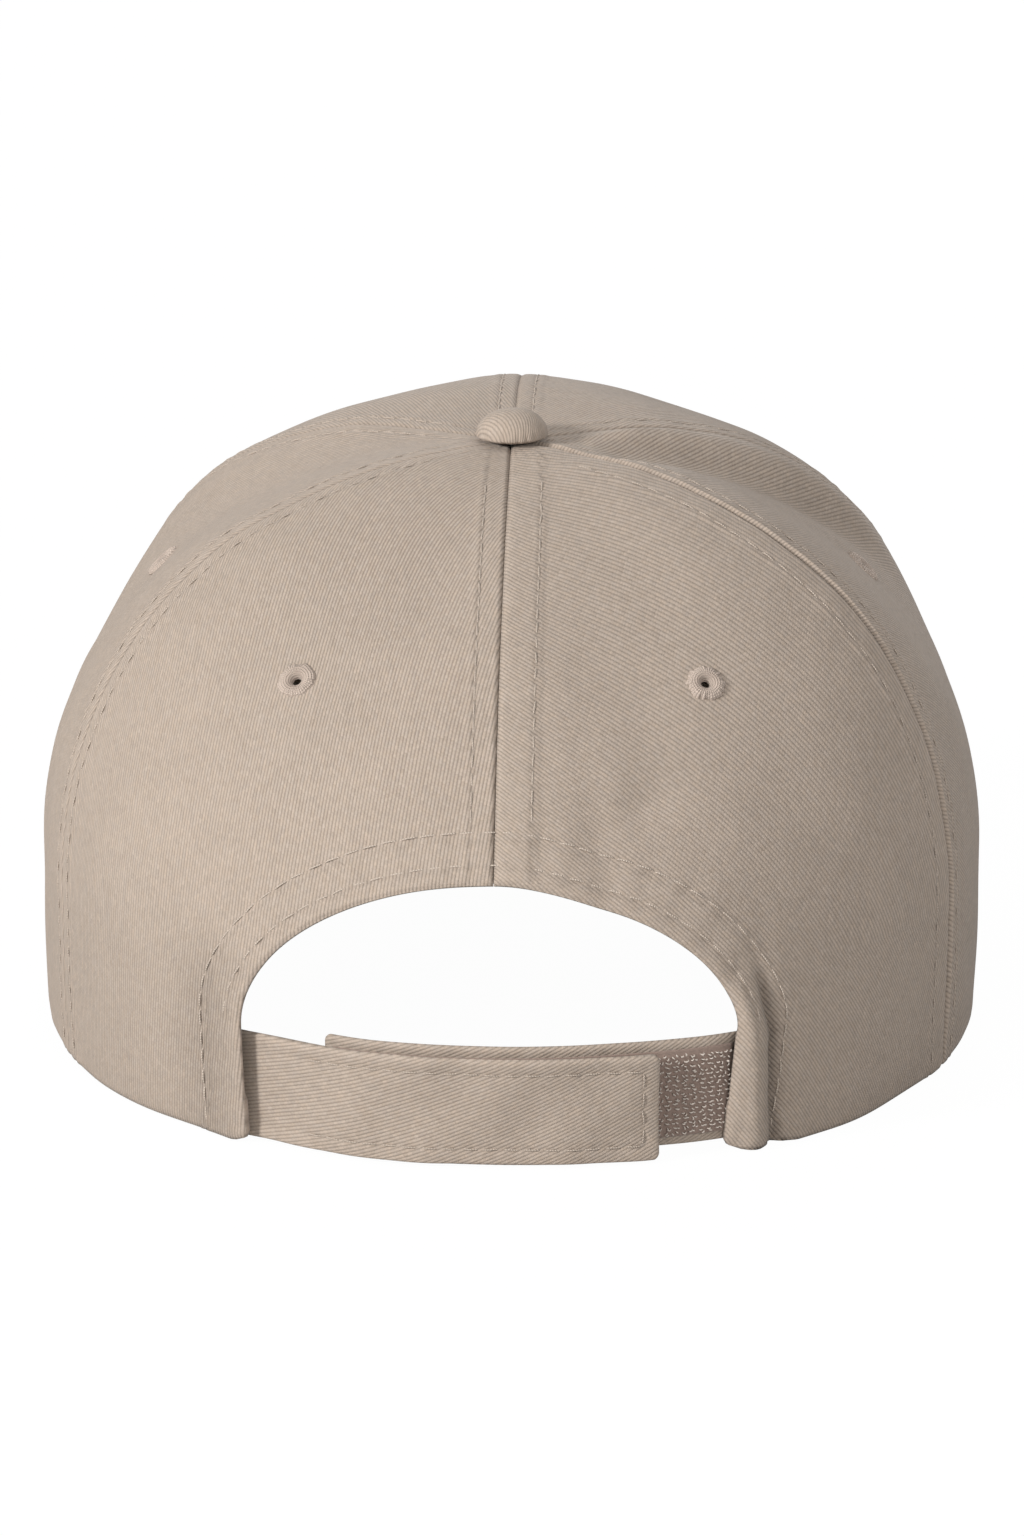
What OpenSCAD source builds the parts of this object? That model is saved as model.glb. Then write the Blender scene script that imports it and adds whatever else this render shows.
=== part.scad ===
// Six-panel structured baseball cap with a hook-and-loop rear strap.
// +Z is up, the visor points along -Y, and +X is the wearer's left.
// The origin is the centre of the head opening, on the plane that the cap rests on.

/* [Crown] */
// Half width of the crown at its widest, outside
crown_half_width = 92; // [86:1:98]
// From the button to the front of the crown
crown_front = 100; // [94:1:106]
// From the button to the back of the crown
crown_back = 100; // [94:1:104]
// Height of the panels' meeting point above the rest plane
crown_height = 115.2; // [108:0.2:122]
// Height of the crown's widest line
widest_height = 34; // [30:0.5:40]
// Height of the rim where it meets the visor at the centre front
front_rim_height = 22; // [18:1:26]
// How far the front panels stand above the button
front_crest = 4; // [0:0.5:6]
// Thickness of one fabric panel
panel_thickness = 0.8; // [0.6:0.1:1]
// Angle of the seam between a front and a side panel, from the centre front
front_side_seam = 61; // [56:1:62]
// Angle of the seam between a side and a back panel, from the centre front
side_back_seam = 112; // [108:0.5:118]

/* [Rear opening] */
// Half width of the rear opening
opening_half_width = 47.5; // [44:0.5:50]
// Height of the opening's straight sides
opening_side_height = 24; // [22:1:26]
// Height of the opening's arch above its straight sides
opening_arch = 29.5; // [24:0.5:34]
// How much the arch's shoulders fall below a half ellipse, where 1 is a half ellipse
opening_shoulder = 1.12; // [1:0.01:1.3]

/* [Visor] */
// From the centre-front seam to the visor's edge
visor_reach = 68; // [60:1:74]
// Angle from the centre front to each end of the visor seam
visor_end_angle = 66; // [62:1:70]
// Radius that the visor's outer edge is bent to, across its width
visor_bend_radius = 140; // [138:1:200]
// Thickness of the stiff board inside the visor
board_thickness = 1.8; // [1.4:0.1:2.2]

/* [Strap] */
// Height of each strap tab
strap_height = 20.5; // [19:0.5:22]
// Thickness of each folded fabric tab
strap_thickness = 1.2; // [1:0.1:1.4]
// Thickness of the hook tape and of the loop tape
tape_thickness = 0.9; // [0.7:0.1:1]

/* [Trim] */
// Radius of the fabric-covered button
button_radius = 7; // [6.5:0.1:7.5]
// Height of the button's dome
button_dome = 5.2; // [4.6:0.1:5.8]
// Outer radius of a sewn eyelet
eyelet_radius = 3.6; // [3.2:0.1:4]
// Radius of the hole through a sewn eyelet
eyelet_hole_radius = 1; // [0.8:0.1:1.2]
// Height of the sweatband
sweatband_height = 32; // [28:1:34]

/* [Hidden] */

twill = [0.74, 0.68, 0.62];
twill_inside = [0.70, 0.64, 0.58];
backing = [0.92, 0.91, 0.87];
thread = [0.80, 0.74, 0.69];
tape_colour = [0.55, 0.47, 0.43];
metal = [0.72, 0.72, 0.70];

// The crown's outer surface is a dome of superellipse meridians. u is the angle from the centre
// front; w runs from 0 at the button to 1 at the widest line and 2 at the rim.
front_squareness = 4.3;
side_squareness = 2.2;
back_squareness = 1.5;
rim_tuck = 0.01;
seam_ridge = 0.046;
crest_place = 0.37;
crest_spread = 0.22;
rim_rise_power = 1.97;
rim_flat_cos = 0.75;

function squareness(u) =
    let (c = cos(u))
    side_squareness + c * c * ((c > 0 ? front_squareness : back_squareness) - side_squareness);

// The rim is flat at the back and rises towards the visor
function rim_z(u) =
    front_rim_height * pow(max(0, (cos(u) + rim_flat_cos) / (1 + rim_flat_cos)), rim_rise_power);

// Where u lies between its two neighbouring seams, as a cosine: 1 on a seam, -1 midway
function seam_wave(u) =
    let (v = abs(u > 180 ? u - 360 : u),
         span = v < front_side_seam ? [0, front_side_seam]
              : v < side_back_seam ? [front_side_seam, side_back_seam]
              : [side_back_seam, 180])
    cos(360 * (v - span[0]) / (span[1] - span[0]));

function crown_point(u, w) =
    let (c = cos(u),
         n = squareness(u),
         above = w < 1,
         base = sin(90 * min(w, 1)),
         z_low = widest_height + (rim_z(u) - widest_height) * (w - 1),
         z_top = widest_height + (crown_height - widest_height) * pow(1 - pow(base, n), 1 / n),
         crest = front_crest * pow(max(c, 0), 2) * exp(-pow((base - crest_place) / crest_spread, 2)),
         z = above ? z_top + crest : z_low,
         rho = above
             ? base * (1 + seam_ridge * seam_wave(u) * sin(180 * base))
             : 1 - rim_tuck * pow((widest_height - z) / widest_height, 2),
         length = c > 0 ? crown_front : crown_back)
    [rho * crown_half_width * sin(u), -rho * length * c, z];

function unit(v) = v / norm(v);

// Outward normal of the crown, from two short chords
function crown_normal(u, w) =
    let (du = 0.6, dw = 0.012, lo = max(w - dw, 0.004))
    unit(cross(crown_point(u, w + dw) - crown_point(u, lo),
               crown_point(u + du, w) - crown_point(u - du, w)));

// A point under the crown's outer surface by depth. The rim is cut level.
function crown_under(u, w, depth) =
    let (n = crown_normal(u, w))
    crown_point(u, w) - depth * (w < 2 ? n : unit([n[0], n[1], 0]));

// The w of a height on the meridian u
function w_at(u, z) =
    z <= widest_height
        ? 1 + (widest_height - z) / (widest_height - rim_z(u))
        : let (n = squareness(u), h = (z - widest_height) / (crown_height - widest_height))
          asin(pow(1 - pow(h, n), 1 / n)) / 90;

// The u of a point on the crown's back, from its x and z
function back_u(x, z, steps = 4, u = 150) =
    steps == 0
        ? 180 - asin(x / crown_half_width / min(1, sin(90 * min(w_at(u, z), 1))))
        : back_u(x, z, steps - 1, back_u(x, z, 0, u));

// Closed solid between two grids of points of the same size
module slab(outer, inner) {
    rows = len(outer);
    cols = len(outer[0]);
    function at(r, c, side) = side * rows * cols + r * cols + c;
    edge = concat(
        [for (c = [0 : cols - 2]) [0, c]],
        [for (r = [0 : rows - 2]) [r, cols - 1]],
        [for (c = [cols - 1 : -1 : 1]) [rows - 1, c]],
        [for (r = [rows - 1 : -1 : 1]) [r, 0]]);
    count = len(edge);
    faces = concat(
        [for (r = [0 : rows - 2], c = [0 : cols - 2], k = [0, 1])
            k == 0 ? [at(r, c, 0), at(r + 1, c + 1, 0), at(r + 1, c, 0)]
                   : [at(r, c, 0), at(r, c + 1, 0), at(r + 1, c + 1, 0)]],
        [for (r = [0 : rows - 2], c = [0 : cols - 2], k = [0, 1])
            k == 0 ? [at(r, c, 1), at(r + 1, c, 1), at(r + 1, c + 1, 1)]
                   : [at(r, c, 1), at(r + 1, c + 1, 1), at(r, c + 1, 1)]],
        [for (i = [0 : count - 1], k = [0, 1])
            let (a = edge[i], b = edge[(i + 1) % count])
            k == 0 ? [at(a[0], a[1], 0), at(b[0], b[1], 1), at(b[0], b[1], 0)]
                   : [at(a[0], a[1], 0), at(a[0], a[1], 1), at(b[0], b[1], 1)]]);
    polyhedron(points = [for (g = [outer, inner], row = g, p = row) p], faces = faces);
}

// A piece of the crown's wall between two angles, for a list of w, at a depth
module crown_wall(u_from, u_to, w_list, depth, thickness, columns) {
    u_list = [for (i = [0 : columns]) u_from + (u_to - u_from) * i / columns];
    slab([for (w = w_list) [for (u = u_list) crown_under(u, w, depth)]],
         [for (w = w_list) [for (u = u_list) crown_under(u, w, depth + thickness)]]);
}

apex_w = 0.018;
seam_gap = 0.04;
panel_rows = 13;
rim_rows = 3;
panel_columns = 9;
panel_w = concat([for (i = [0 : panel_rows]) apex_w + (1 - apex_w) * i / panel_rows],
                 [for (i = [1 : rim_rows]) 1 + i / rim_rows]);

// Depths of the layers under the outer surface
lining_depth = 1.0;
buckram_thickness = 0.7;
seam_tape_depth_front = 1.95;
seam_tape_depth_back = 1.05;
seam_tape_thickness = 0.5;
foam_depth = 2.85;
foam_thickness = 0.8;
sweatband_depth = 3.9;
sweatband_thickness = 0.8;

// Centres of the eyelets as [u, w]: front, side and back
eyelet_places = [[30.5, 0.56], [86.5, 0.56], [144.3, 0.532]];
panel_spans = [[0, front_side_seam], [front_side_seam, side_back_seam], [side_back_seam, 180]];

// Moves its children to a point of the crown, with +Z along the outward normal
module on_crown(u, w, depth = 0) {
    n = crown_normal(u, w);
    translate(crown_under(u, w, depth))
        rotate([0, acos(n[2]), atan2(n[1], n[0])])
            children();
}

function signed_pow(v, e) = sign(v) * pow(abs(v), e);

// Point of the opening's arch in x and z, at an angle from the +X side, grown outwards by grow
function arch_point(a, grow = 0) =
    [(opening_half_width + grow) * signed_pow(cos(a), opening_shoulder),
     opening_side_height + (opening_arch + grow) * sin(a)];

// Straight-sided arch, cut through the back of the crown
module opening_cutter() {
    arch = [for (a = [0 : 9 : 180]) arch_point(a)];
    translate([0, crown_back + 20, 0])
        rotate([90, 0, 0])
            linear_extrude(70)
                polygon(concat([[opening_half_width, -5]], arch, [[-opening_half_width, -5]]));
}

// One crown panel: kind is 0 front, 1 side or 2 back, and side is 1 left or -1 right
module panel(kind, side) {
    span = panel_spans[kind];
    place = eyelet_places[kind];
    columns = panel_columns;
    color(twill) difference() {
        if (side > 0)
            crown_wall(span[0] + seam_gap, span[1] - seam_gap, panel_w, 0, panel_thickness, columns);
        else
            crown_wall(360 - span[1] + seam_gap, 360 - span[0] - seam_gap, panel_w, 0,
                       panel_thickness, columns);
        on_crown(side * place[0], place[1])
            cylinder(r = eyelet_hole_radius + 0.3, h = 8, center = true, $fn = 12);
        if (kind == 2) opening_cutter();
    }
}

// Stiff lining fused behind one front panel
module buckram(side) {
    inset = 1;
    buckram_w = concat([for (i = [1 : len(panel_w) - 2]) panel_w[i]], [1.9]);
    a = side > 0 ? inset : 360 - front_side_seam + inset;
    color(backing) difference() {
        crown_wall(a, a + front_side_seam - 2 * inset, buckram_w, lining_depth,
                   buckram_thickness, panel_columns);
        on_crown(side * eyelet_places[0][0], eyelet_places[0][1])
            cylinder(r = eyelet_hole_radius + 0.3, h = 12, center = true, $fn = 12);
    }
}

// Binding tape over a seam, mitred where the six tapes meet at the top
module seam_tape(u, depth, w_end) {
    half_width = 6;
    mitre = tan(28);
    start_w = 0.03;
    w_list = concat([start_w], [for (w = panel_w) if (w > 0.05 && w < w_end - 0.03) w], [w_end]);
    function tape_u(w, k) =
        let (p = crown_point(u, w), r = norm([p[0], p[1]]))
        u + k * min(half_width, mitre * r) / r * 180 / PI;
    color(twill_inside)
        slab([for (w = w_list) [for (k = [-1, 0, 1]) crown_under(tape_u(w, k), w, depth)]],
             [for (w = w_list) [for (k = [-1, 0, 1])
                crown_under(tape_u(w, k), w, depth + seam_tape_thickness)]]);
}

// Tape that covers the turned edge of the rear opening's arch
module opening_binding() {
    width = 9;
    steps = 20;
    end_angle = 4;
    grow_list = [width, width / 2, 0.3];
    function band(s, grow, depth) =
        let (p = arch_point(end_angle + (180 - 2 * end_angle) * s, grow),
             u = back_u(p[0], p[1]))
        crown_under(u, w_at(u, p[1]), depth);
    depth = seam_tape_depth_back + seam_tape_thickness + 0.15;
    color(twill_inside)
        slab([for (g = grow_list) [for (i = [0 : steps]) band(i / steps, g, depth)]],
             [for (g = grow_list) [for (i = [0 : steps]) band(i / steps, g, depth + 0.5)]]);
}

// Band inside the rim, between two angles, from the rim up
module inner_band(u_end, low, high, depth, thickness, columns) {
    u_list = [for (i = [0 : columns]) -u_end + 2 * u_end * i / columns];
    rows = 3;
    function level(u, r) = w_at(u, rim_z(u) + low + (high - low) * r / rows);
    slab([for (r = [0 : rows]) [for (u = u_list) crown_under(u, level(u, rows - r), depth)]],
         [for (r = [0 : rows]) [for (u = u_list)
            crown_under(u, level(u, rows - r), depth + thickness)]]);
}

module sweatband() {
    color(twill_inside)
        inner_band(146, 0.8, sweatband_height, sweatband_depth, sweatband_thickness, 44);
}

module sweatband_foam() {
    color(backing) inner_band(62, 3, sweatband_height - 3, foam_depth, foam_thickness, 18);
}

// Upper half-outline of a dome: radius, height and foot height
function dome_outline(r, h, foot) = [for (a = [0 : 10 : 90]) [r * cos(a), foot + h * sin(a)]];

button_foot = 0.7;

// Fabric drawn over the metal shell and tucked under its rim
module button_cover() {
    skin = 0.7;
    tuck = 2.2;
    color(twill) translate([0, 0, crown_height]) rotate_extrude($fn = 64)
        polygon(concat(
            dome_outline(button_radius, button_dome, button_foot + skin),
            [for (a = [90 : -10 : 0])
                [(button_radius - skin) * cos(a), button_foot + skin + (button_dome - skin) * sin(a)]],
            [[button_radius - tuck, button_foot + skin], [button_radius - tuck, button_foot],
             [button_radius - 0.4, button_foot]]));
}

// Pressed metal dome under the fabric
module button_shell() {
    outer = button_radius - 0.8;
    rise = button_dome - 0.85;
    wall = 0.5;
    foot = button_foot + 0.8;
    color(metal) translate([0, 0, crown_height]) rotate_extrude($fn = 64)
        polygon(concat(
            dome_outline(outer, rise, foot),
            [for (a = [90 : -10 : 0]) [(outer - wall) * cos(a), foot + (rise - wall) * sin(a)]]));
}

// Rivet through the panels' meeting point, with its plate inside the crown
module button_rivet() {
    post = 1.5;
    plate = 6.5;
    plate_top = -2.9;
    plate_thickness = 0.8;
    head_z = button_foot + 0.8;
    color(metal) translate([0, 0, crown_height]) rotate_extrude($fn = 64)
        polygon([[0, plate_top - plate_thickness], [plate, plate_top - plate_thickness],
                 [plate, plate_top], [post, plate_top], [post, head_z], [3.6, head_z],
                 [3.6, head_z + 0.6], [0, head_z + 0.6]]);
}

// Sewn eyelet: thread lies on both faces and lines the hole
module eyelet(kind, side) {
    place = eyelet_places[kind];
    layers = kind == 0 ? lining_depth + buckram_thickness : panel_thickness;
    proud = 0.45;
    gap = 0.12;
    inner_gap = 0.32;
    throat = eyelet_hole_radius + 0.22;
    color(thread) on_crown(side * place[0], place[1])
        rotate_extrude($fn = 40)
            polygon([[eyelet_hole_radius, proud], [eyelet_hole_radius, -layers - proud - 0.2],
                     [eyelet_radius - 0.3, -layers - proud - 0.2],
                     [eyelet_radius, -layers - inner_gap], [throat, -layers - inner_gap],
                     [throat, gap], [eyelet_radius, gap], [eyelet_radius - 0.3, proud]]);
}

// The visor is ruled between the seam under the crown's rim and its outer edge. s runs from -1 to 1
// across it, and t from 0 at the seam to 1 at the edge.
visor_edge_squareness = 0.8;
visor_flare = 8;
visor_centre_height = 23.2;
visor_seam_drop = 2.3;
visor_seam_inset = 3;
edge_half_width = 84;

function visor_seam(s) =
    let (u = s * visor_end_angle, p = crown_under(u, 2, visor_seam_inset))
    [p[0], p[1], rim_z(u) - visor_seam_drop];

function visor_edge(s) =
    let (a = 90 * s,
         end = crown_point(visor_end_angle, 2),
         x = edge_half_width * signed_pow(sin(a), visor_edge_squareness)
             + visor_flare * sin(2 * a),
         reach = visor_reach + crown_front * (1 - rim_tuck) + end[1],
         y = end[1] - reach * pow(abs(cos(a)), visor_edge_squareness),
         k = pow(abs(sin(a)), 8),
         z = (1 - k) * (visor_centre_height - x * x / (2 * visor_bend_radius))
             + k * (end[2] - visor_seam_drop))
    [x, y, z];

function visor_point(s, t) = visor_seam(s) * (1 - t) + visor_edge(s) * t;

function visor_normal(s, t) =
    let (ds = 0.01, dt = 0.02)
    unit(cross(visor_point(s + ds, t) - visor_point(s - ds, t),
               visor_point(s, t - dt) - visor_point(s, t + dt)));

function visor_layer(s, t, height) = visor_point(s, t) + height * visor_normal(s, t);

module visor_plate(low, high, s_end, t_end) {
    columns = 26;
    rows = 5;
    s_list = [for (i = [0 : columns]) s_end * (2 * i / columns - 1)];
    t_list = [for (r = [0 : rows]) t_end * r / rows];
    slab([for (t = t_list) [for (s = s_list) visor_layer(s, t, high)]],
         [for (t = t_list) [for (s = s_list) visor_layer(s, t, low)]]);
}

cover_gap = 0.14;
cover_thickness = 0.7;

module visor_board() {
    color(backing) visor_plate(-board_thickness / 2, board_thickness / 2, 0.95, 0.97);
}

module visor_cover_top() {
    low = board_thickness / 2 + cover_gap;
    color(twill) visor_plate(low, low + cover_thickness, 0.97, 1);
}

module visor_cover_bottom() {
    high = -board_thickness / 2 - cover_gap;
    color(twill) visor_plate(high - cover_thickness, high, 0.97, 1);
}

// The straps follow the rim at the back. Depth is measured inwards from the crown's outer surface,
// and falls from the sewn end to the middle, where the two tabs overlap outside the rim's line.
outer_low = 0.4;
inner_low = 1.7;
root_depth = 1.15;
middle_depth = -1.3;
pile_gap = 0.4;
sewn_gap = 0.08;
hinge_gap = 0.35;
hinge_setback = 1.6;
anchor_reach = 10;

function angle_at(x) = 180 - asin(x / (crown_half_width * (1 - rim_tuck)));
function settle(t) = let (k = min(max(t, 0), 1)) k * k * (3 - 2 * k);

outer_root_x = opening_half_width - hinge_setback;
outer_tip_x = -30.5;
inner_root_x = -outer_root_x;
inner_tip_x = 33;
root_run = 24;

// Depth of the outer face of the outer tab at x
function outer_depth(x) =
    root_depth + (middle_depth - root_depth) * settle((outer_root_x - x) / root_run);
// Depth of the hook face of the inner tab at x, which lies against the outer tab's loop tape
function inner_depth(x) =
    let (against = outer_depth(x) + strap_thickness + sewn_gap + tape_thickness + pile_gap,
         root = root_depth - sewn_gap - tape_thickness)
    against + (root - against) * settle((inner_root_x + root_run - x) / root_run);

function strap_point(x, z, depth) =
    let (u = angle_at(x), p = crown_point(u, 2), n = unit([p[0], p[1] * 0.95, 0]))
    [p[0], p[1], z] - depth * n;

// Band along the rim from x_from to x_to; face(x) is its outer face's depth
module strap_band(x_from, x_to, low, high, face, thickness, columns) {
    x_list = [for (i = [0 : columns]) x_from + (x_to - x_from) * i / columns];
    slab([for (z = [high, low]) [for (x = x_list) strap_point(x, z, face(x))]],
         [for (z = [high, low]) [for (x = x_list) strap_point(x, z, face(x) + thickness)]]);
}

module strap_outer() {
    color(twill)
        strap_band(outer_root_x - hinge_gap, outer_tip_x, outer_low, outer_low + strap_height,
                   function (x) outer_depth(x), strap_thickness, 24);
}

module strap_outer_anchor() {
    color(twill)
        strap_band(outer_root_x + anchor_reach, outer_root_x, outer_low, outer_low + strap_height,
                   function (x) root_depth, strap_thickness, 5);
}

module strap_outer_loop_tape() {
    margin = 1.8;
    color(tape_colour)
        strap_band(outer_root_x - 16, outer_tip_x + 2, outer_low + margin,
                   outer_low + strap_height - margin,
                   function (x) outer_depth(x) + strap_thickness + sewn_gap, tape_thickness, 18);
}

module strap_inner() {
    color(twill)
        strap_band(inner_tip_x, inner_root_x + hinge_gap, inner_low, inner_low + strap_height,
                   function (x) inner_depth(x) + tape_thickness + sewn_gap, strap_thickness, 26);
}

module strap_inner_anchor() {
    color(twill)
        strap_band(inner_root_x, inner_root_x - anchor_reach, inner_low,
                   inner_low + strap_height,
                   function (x) root_depth, strap_thickness, 5);
}

module strap_inner_hook_tape() {
    margin = 1.8;
    color(tape_colour)
        strap_band(inner_tip_x - 2, inner_root_x + 1, inner_low + margin,
                   inner_low + strap_height - margin,
                   function (x) inner_depth(x), tape_thickness, 22);
}

panel(0, 1);  // panel_front_left
panel(0, -1);  // panel_front_right
panel(1, 1);  // panel_side_left
panel(1, -1);  // panel_side_right
panel(2, 1);  // panel_back_left
panel(2, -1);  // panel_back_right
buckram(1);  // buckram_left
buckram(-1);  // buckram_right
seam_tape(0, seam_tape_depth_front, 1.9);  // seam_tape_front
seam_tape(front_side_seam, seam_tape_depth_front, 1.9);  // seam_tape_front_left
seam_tape(-front_side_seam, seam_tape_depth_front, 1.9);  // seam_tape_front_right
seam_tape(180, seam_tape_depth_back, w_at(180, opening_side_height + opening_arch + 0.6));  // seam_tape_back
seam_tape(side_back_seam, seam_tape_depth_back, 1.9);  // seam_tape_back_left
seam_tape(-side_back_seam, seam_tape_depth_back, 1.9);  // seam_tape_back_right
opening_binding();
sweatband();
sweatband_foam();
button_cover();
button_shell();
button_rivet();
eyelet(0, 1);  // eyelet_front_left
eyelet(0, -1);  // eyelet_front_right
eyelet(1, 1);  // eyelet_side_left
eyelet(1, -1);  // eyelet_side_right
eyelet(2, 1);  // eyelet_back_left
eyelet(2, -1);  // eyelet_back_right
visor_board();
visor_cover_top();
visor_cover_bottom();
strap_outer_anchor();
strap_outer();
strap_outer_loop_tape();
strap_inner_anchor();
strap_inner();
strap_inner_hook_tape();
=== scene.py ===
"""Looks of a six-panel structured baseball cap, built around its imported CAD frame.

Lengths inside the shape functions are millimetres and are turned into metres when a mesh is
made. +Z is up, the visor points along -Y, +X is the wearer's left. On the crown, u is the angle
from the centre front in degrees, and w runs from 0 at the button, through 1 at the widest line,
to 2 at the rim.
"""

import math

import bpy
import numpy as np
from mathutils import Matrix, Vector


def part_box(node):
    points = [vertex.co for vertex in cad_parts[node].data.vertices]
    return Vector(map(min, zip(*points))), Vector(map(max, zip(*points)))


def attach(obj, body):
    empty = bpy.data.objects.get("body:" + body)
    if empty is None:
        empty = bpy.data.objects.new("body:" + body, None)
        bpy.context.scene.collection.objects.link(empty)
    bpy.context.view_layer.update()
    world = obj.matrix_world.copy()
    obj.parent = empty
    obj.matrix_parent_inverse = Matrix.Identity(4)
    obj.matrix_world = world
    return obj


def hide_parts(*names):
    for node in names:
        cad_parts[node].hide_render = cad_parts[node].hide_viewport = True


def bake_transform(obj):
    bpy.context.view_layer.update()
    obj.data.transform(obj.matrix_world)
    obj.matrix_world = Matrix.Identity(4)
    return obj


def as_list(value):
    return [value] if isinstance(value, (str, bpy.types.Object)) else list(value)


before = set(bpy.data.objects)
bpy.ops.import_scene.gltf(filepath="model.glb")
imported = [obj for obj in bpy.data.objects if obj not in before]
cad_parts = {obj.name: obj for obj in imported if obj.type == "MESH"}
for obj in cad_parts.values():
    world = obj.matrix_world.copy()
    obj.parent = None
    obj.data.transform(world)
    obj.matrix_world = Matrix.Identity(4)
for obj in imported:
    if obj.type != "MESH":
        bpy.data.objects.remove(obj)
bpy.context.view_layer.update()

MM = 0.001


def node_box(node):
    """Lowest and highest corner of a CAD node in millimetres."""
    low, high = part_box(node)
    return np.array(low) / MM, np.array(high) / MM


# ---- Camera, lights and floor ----

CAMERA_AZIMUTH = 182.1
CAMERA_ELEVATION = 15.0
CAMERA_DISTANCE = 1.5
CAMERA_TARGET = Vector((0.0, 0.0, 0.060))
CAMERA_AIM_DROP = 0.0101
LENS_MM = 179.3
SENSOR_MM = 36.0


def place_object(name, data):
    """A new object in the scene that shows the data."""
    made = bpy.data.objects.new(name, data)
    bpy.context.scene.collection.objects.link(made)
    return made


def make_camera():
    """Looks at the back of the cap from slightly above, as a product view from behind."""
    azimuth = math.radians(CAMERA_AZIMUTH)
    elevation = math.radians(CAMERA_ELEVATION)
    back = Vector((math.sin(azimuth) * math.cos(elevation),
                   -math.cos(azimuth) * math.cos(elevation),
                   math.sin(elevation)))
    data = bpy.data.cameras.new("camera")
    data.lens = LENS_MM
    data.sensor_width = SENSOR_MM
    data.dof.use_dof = False
    camera = place_object("camera", data)
    camera.location = CAMERA_TARGET + back * CAMERA_DISTANCE
    side = Vector((0, 0, 1)).cross(back).normalized()
    up = back.cross(side)
    aim = CAMERA_TARGET - up * CAMERA_AIM_DROP
    camera.rotation_euler = (camera.location - aim).to_track_quat("Z", "Y").to_euler()
    bpy.context.scene.camera = camera


LIGHTS = {
    # name: place in metres, diameter, power, colour
    "key": ((1.45, 1.12, 0.82), 0.42, 30.5, (1.0, 0.99, 0.97)),
    "fill": ((-0.6, 1.6, 0.7), 0.9, 7.5, (1.0, 0.99, 0.975)),
    "top": ((0.25, 0.45, 1.6), 0.8, 2.5, (1.0, 0.99, 0.97)),
    "front": ((-0.3, -1.6, 0.9), 0.9, 7, (0.97, 0.98, 1.0)),
}
LIGHT_TARGET = Vector((0, 0, 0.06))
SKY_COLOUR = (1.0, 0.99, 0.975, 1)
SKY_STRENGTH = 0.42


def area_light(name, place, size, power, colour):
    data = bpy.data.lights.new(name, "AREA")
    data.shape = "DISK"
    data.size = size
    data.energy = power
    data.color = colour
    light = place_object(name, data)
    light.location = place
    direction = Vector(place) - LIGHT_TARGET
    light.rotation_euler = direction.to_track_quat("Z", "Y").to_euler()


def make_studio():
    """Key light from behind the cap on its left, softer lights round it and a pale even sky."""
    scene = bpy.context.scene
    scene.view_settings.view_transform = "Standard"
    world = bpy.data.worlds.new("studio")
    world.use_nodes = True
    sky = world.node_tree.nodes["Background"]
    sky.inputs["Color"].default_value = SKY_COLOUR
    sky.inputs["Strength"].default_value = SKY_STRENGTH
    scene.world = world
    for name, (place, size, power, colour) in LIGHTS.items():
        area_light(name, place, size, power, colour)


FLOOR_GAP = 0.0004
FLOOR_HALF = 6.0
TABLE_GREY = (0.55, 0.55, 0.55, 1)
TABLE_GLOW = 1.03
TABLE_GLOW_SHARE = 0.95


def make_floor():
    """A pale glowing studio table, wide enough to fill the view."""
    mesh = bpy.data.meshes.new("floor")
    corners = [(x * FLOOR_HALF, y * FLOOR_HALF, -FLOOR_GAP)
               for x, y in ((-1, -1), (1, -1), (1, 1), (-1, 1))]
    mesh.from_pydata(corners, [], [(0, 1, 2, 3)])
    floor = place_object("floor", mesh)
    material = bpy.data.materials.new("studio_table")
    material.use_nodes = True
    nodes, links = material.node_tree.nodes, material.node_tree.links
    shader = nodes["Principled BSDF"]
    shader.inputs["Base Color"].default_value = TABLE_GREY
    shader.inputs["Roughness"].default_value = 0.8
    shader.inputs["Specular IOR Level"].default_value = 0.1
    glow = nodes.new("ShaderNodeEmission")
    glow.inputs["Color"].default_value = (1, 1, 1, 1)
    glow.inputs["Strength"].default_value = TABLE_GLOW
    mixed = nodes.new("ShaderNodeMixShader")
    mixed.inputs["Fac"].default_value = TABLE_GLOW_SHARE
    links.new(shader.outputs["BSDF"], mixed.inputs[1])
    links.new(glow.outputs["Emission"], mixed.inputs[2])
    # the glow keeps the table pale inside the cap, and doesn't light the cap from below
    seen = nodes.new("ShaderNodeLightPath")
    table = nodes.new("ShaderNodeMixShader")
    links.new(seen.outputs["Is Camera Ray"], table.inputs["Fac"])
    links.new(shader.outputs["BSDF"], table.inputs[1])
    links.new(mixed.outputs["Shader"], table.inputs[2])
    links.new(table.outputs["Shader"], nodes["Material Output"].inputs["Surface"])
    mesh.materials.append(material)


make_camera()
make_studio()
make_floor()

# ---- The crown's shape, the same dome as the CAD part ----

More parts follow.
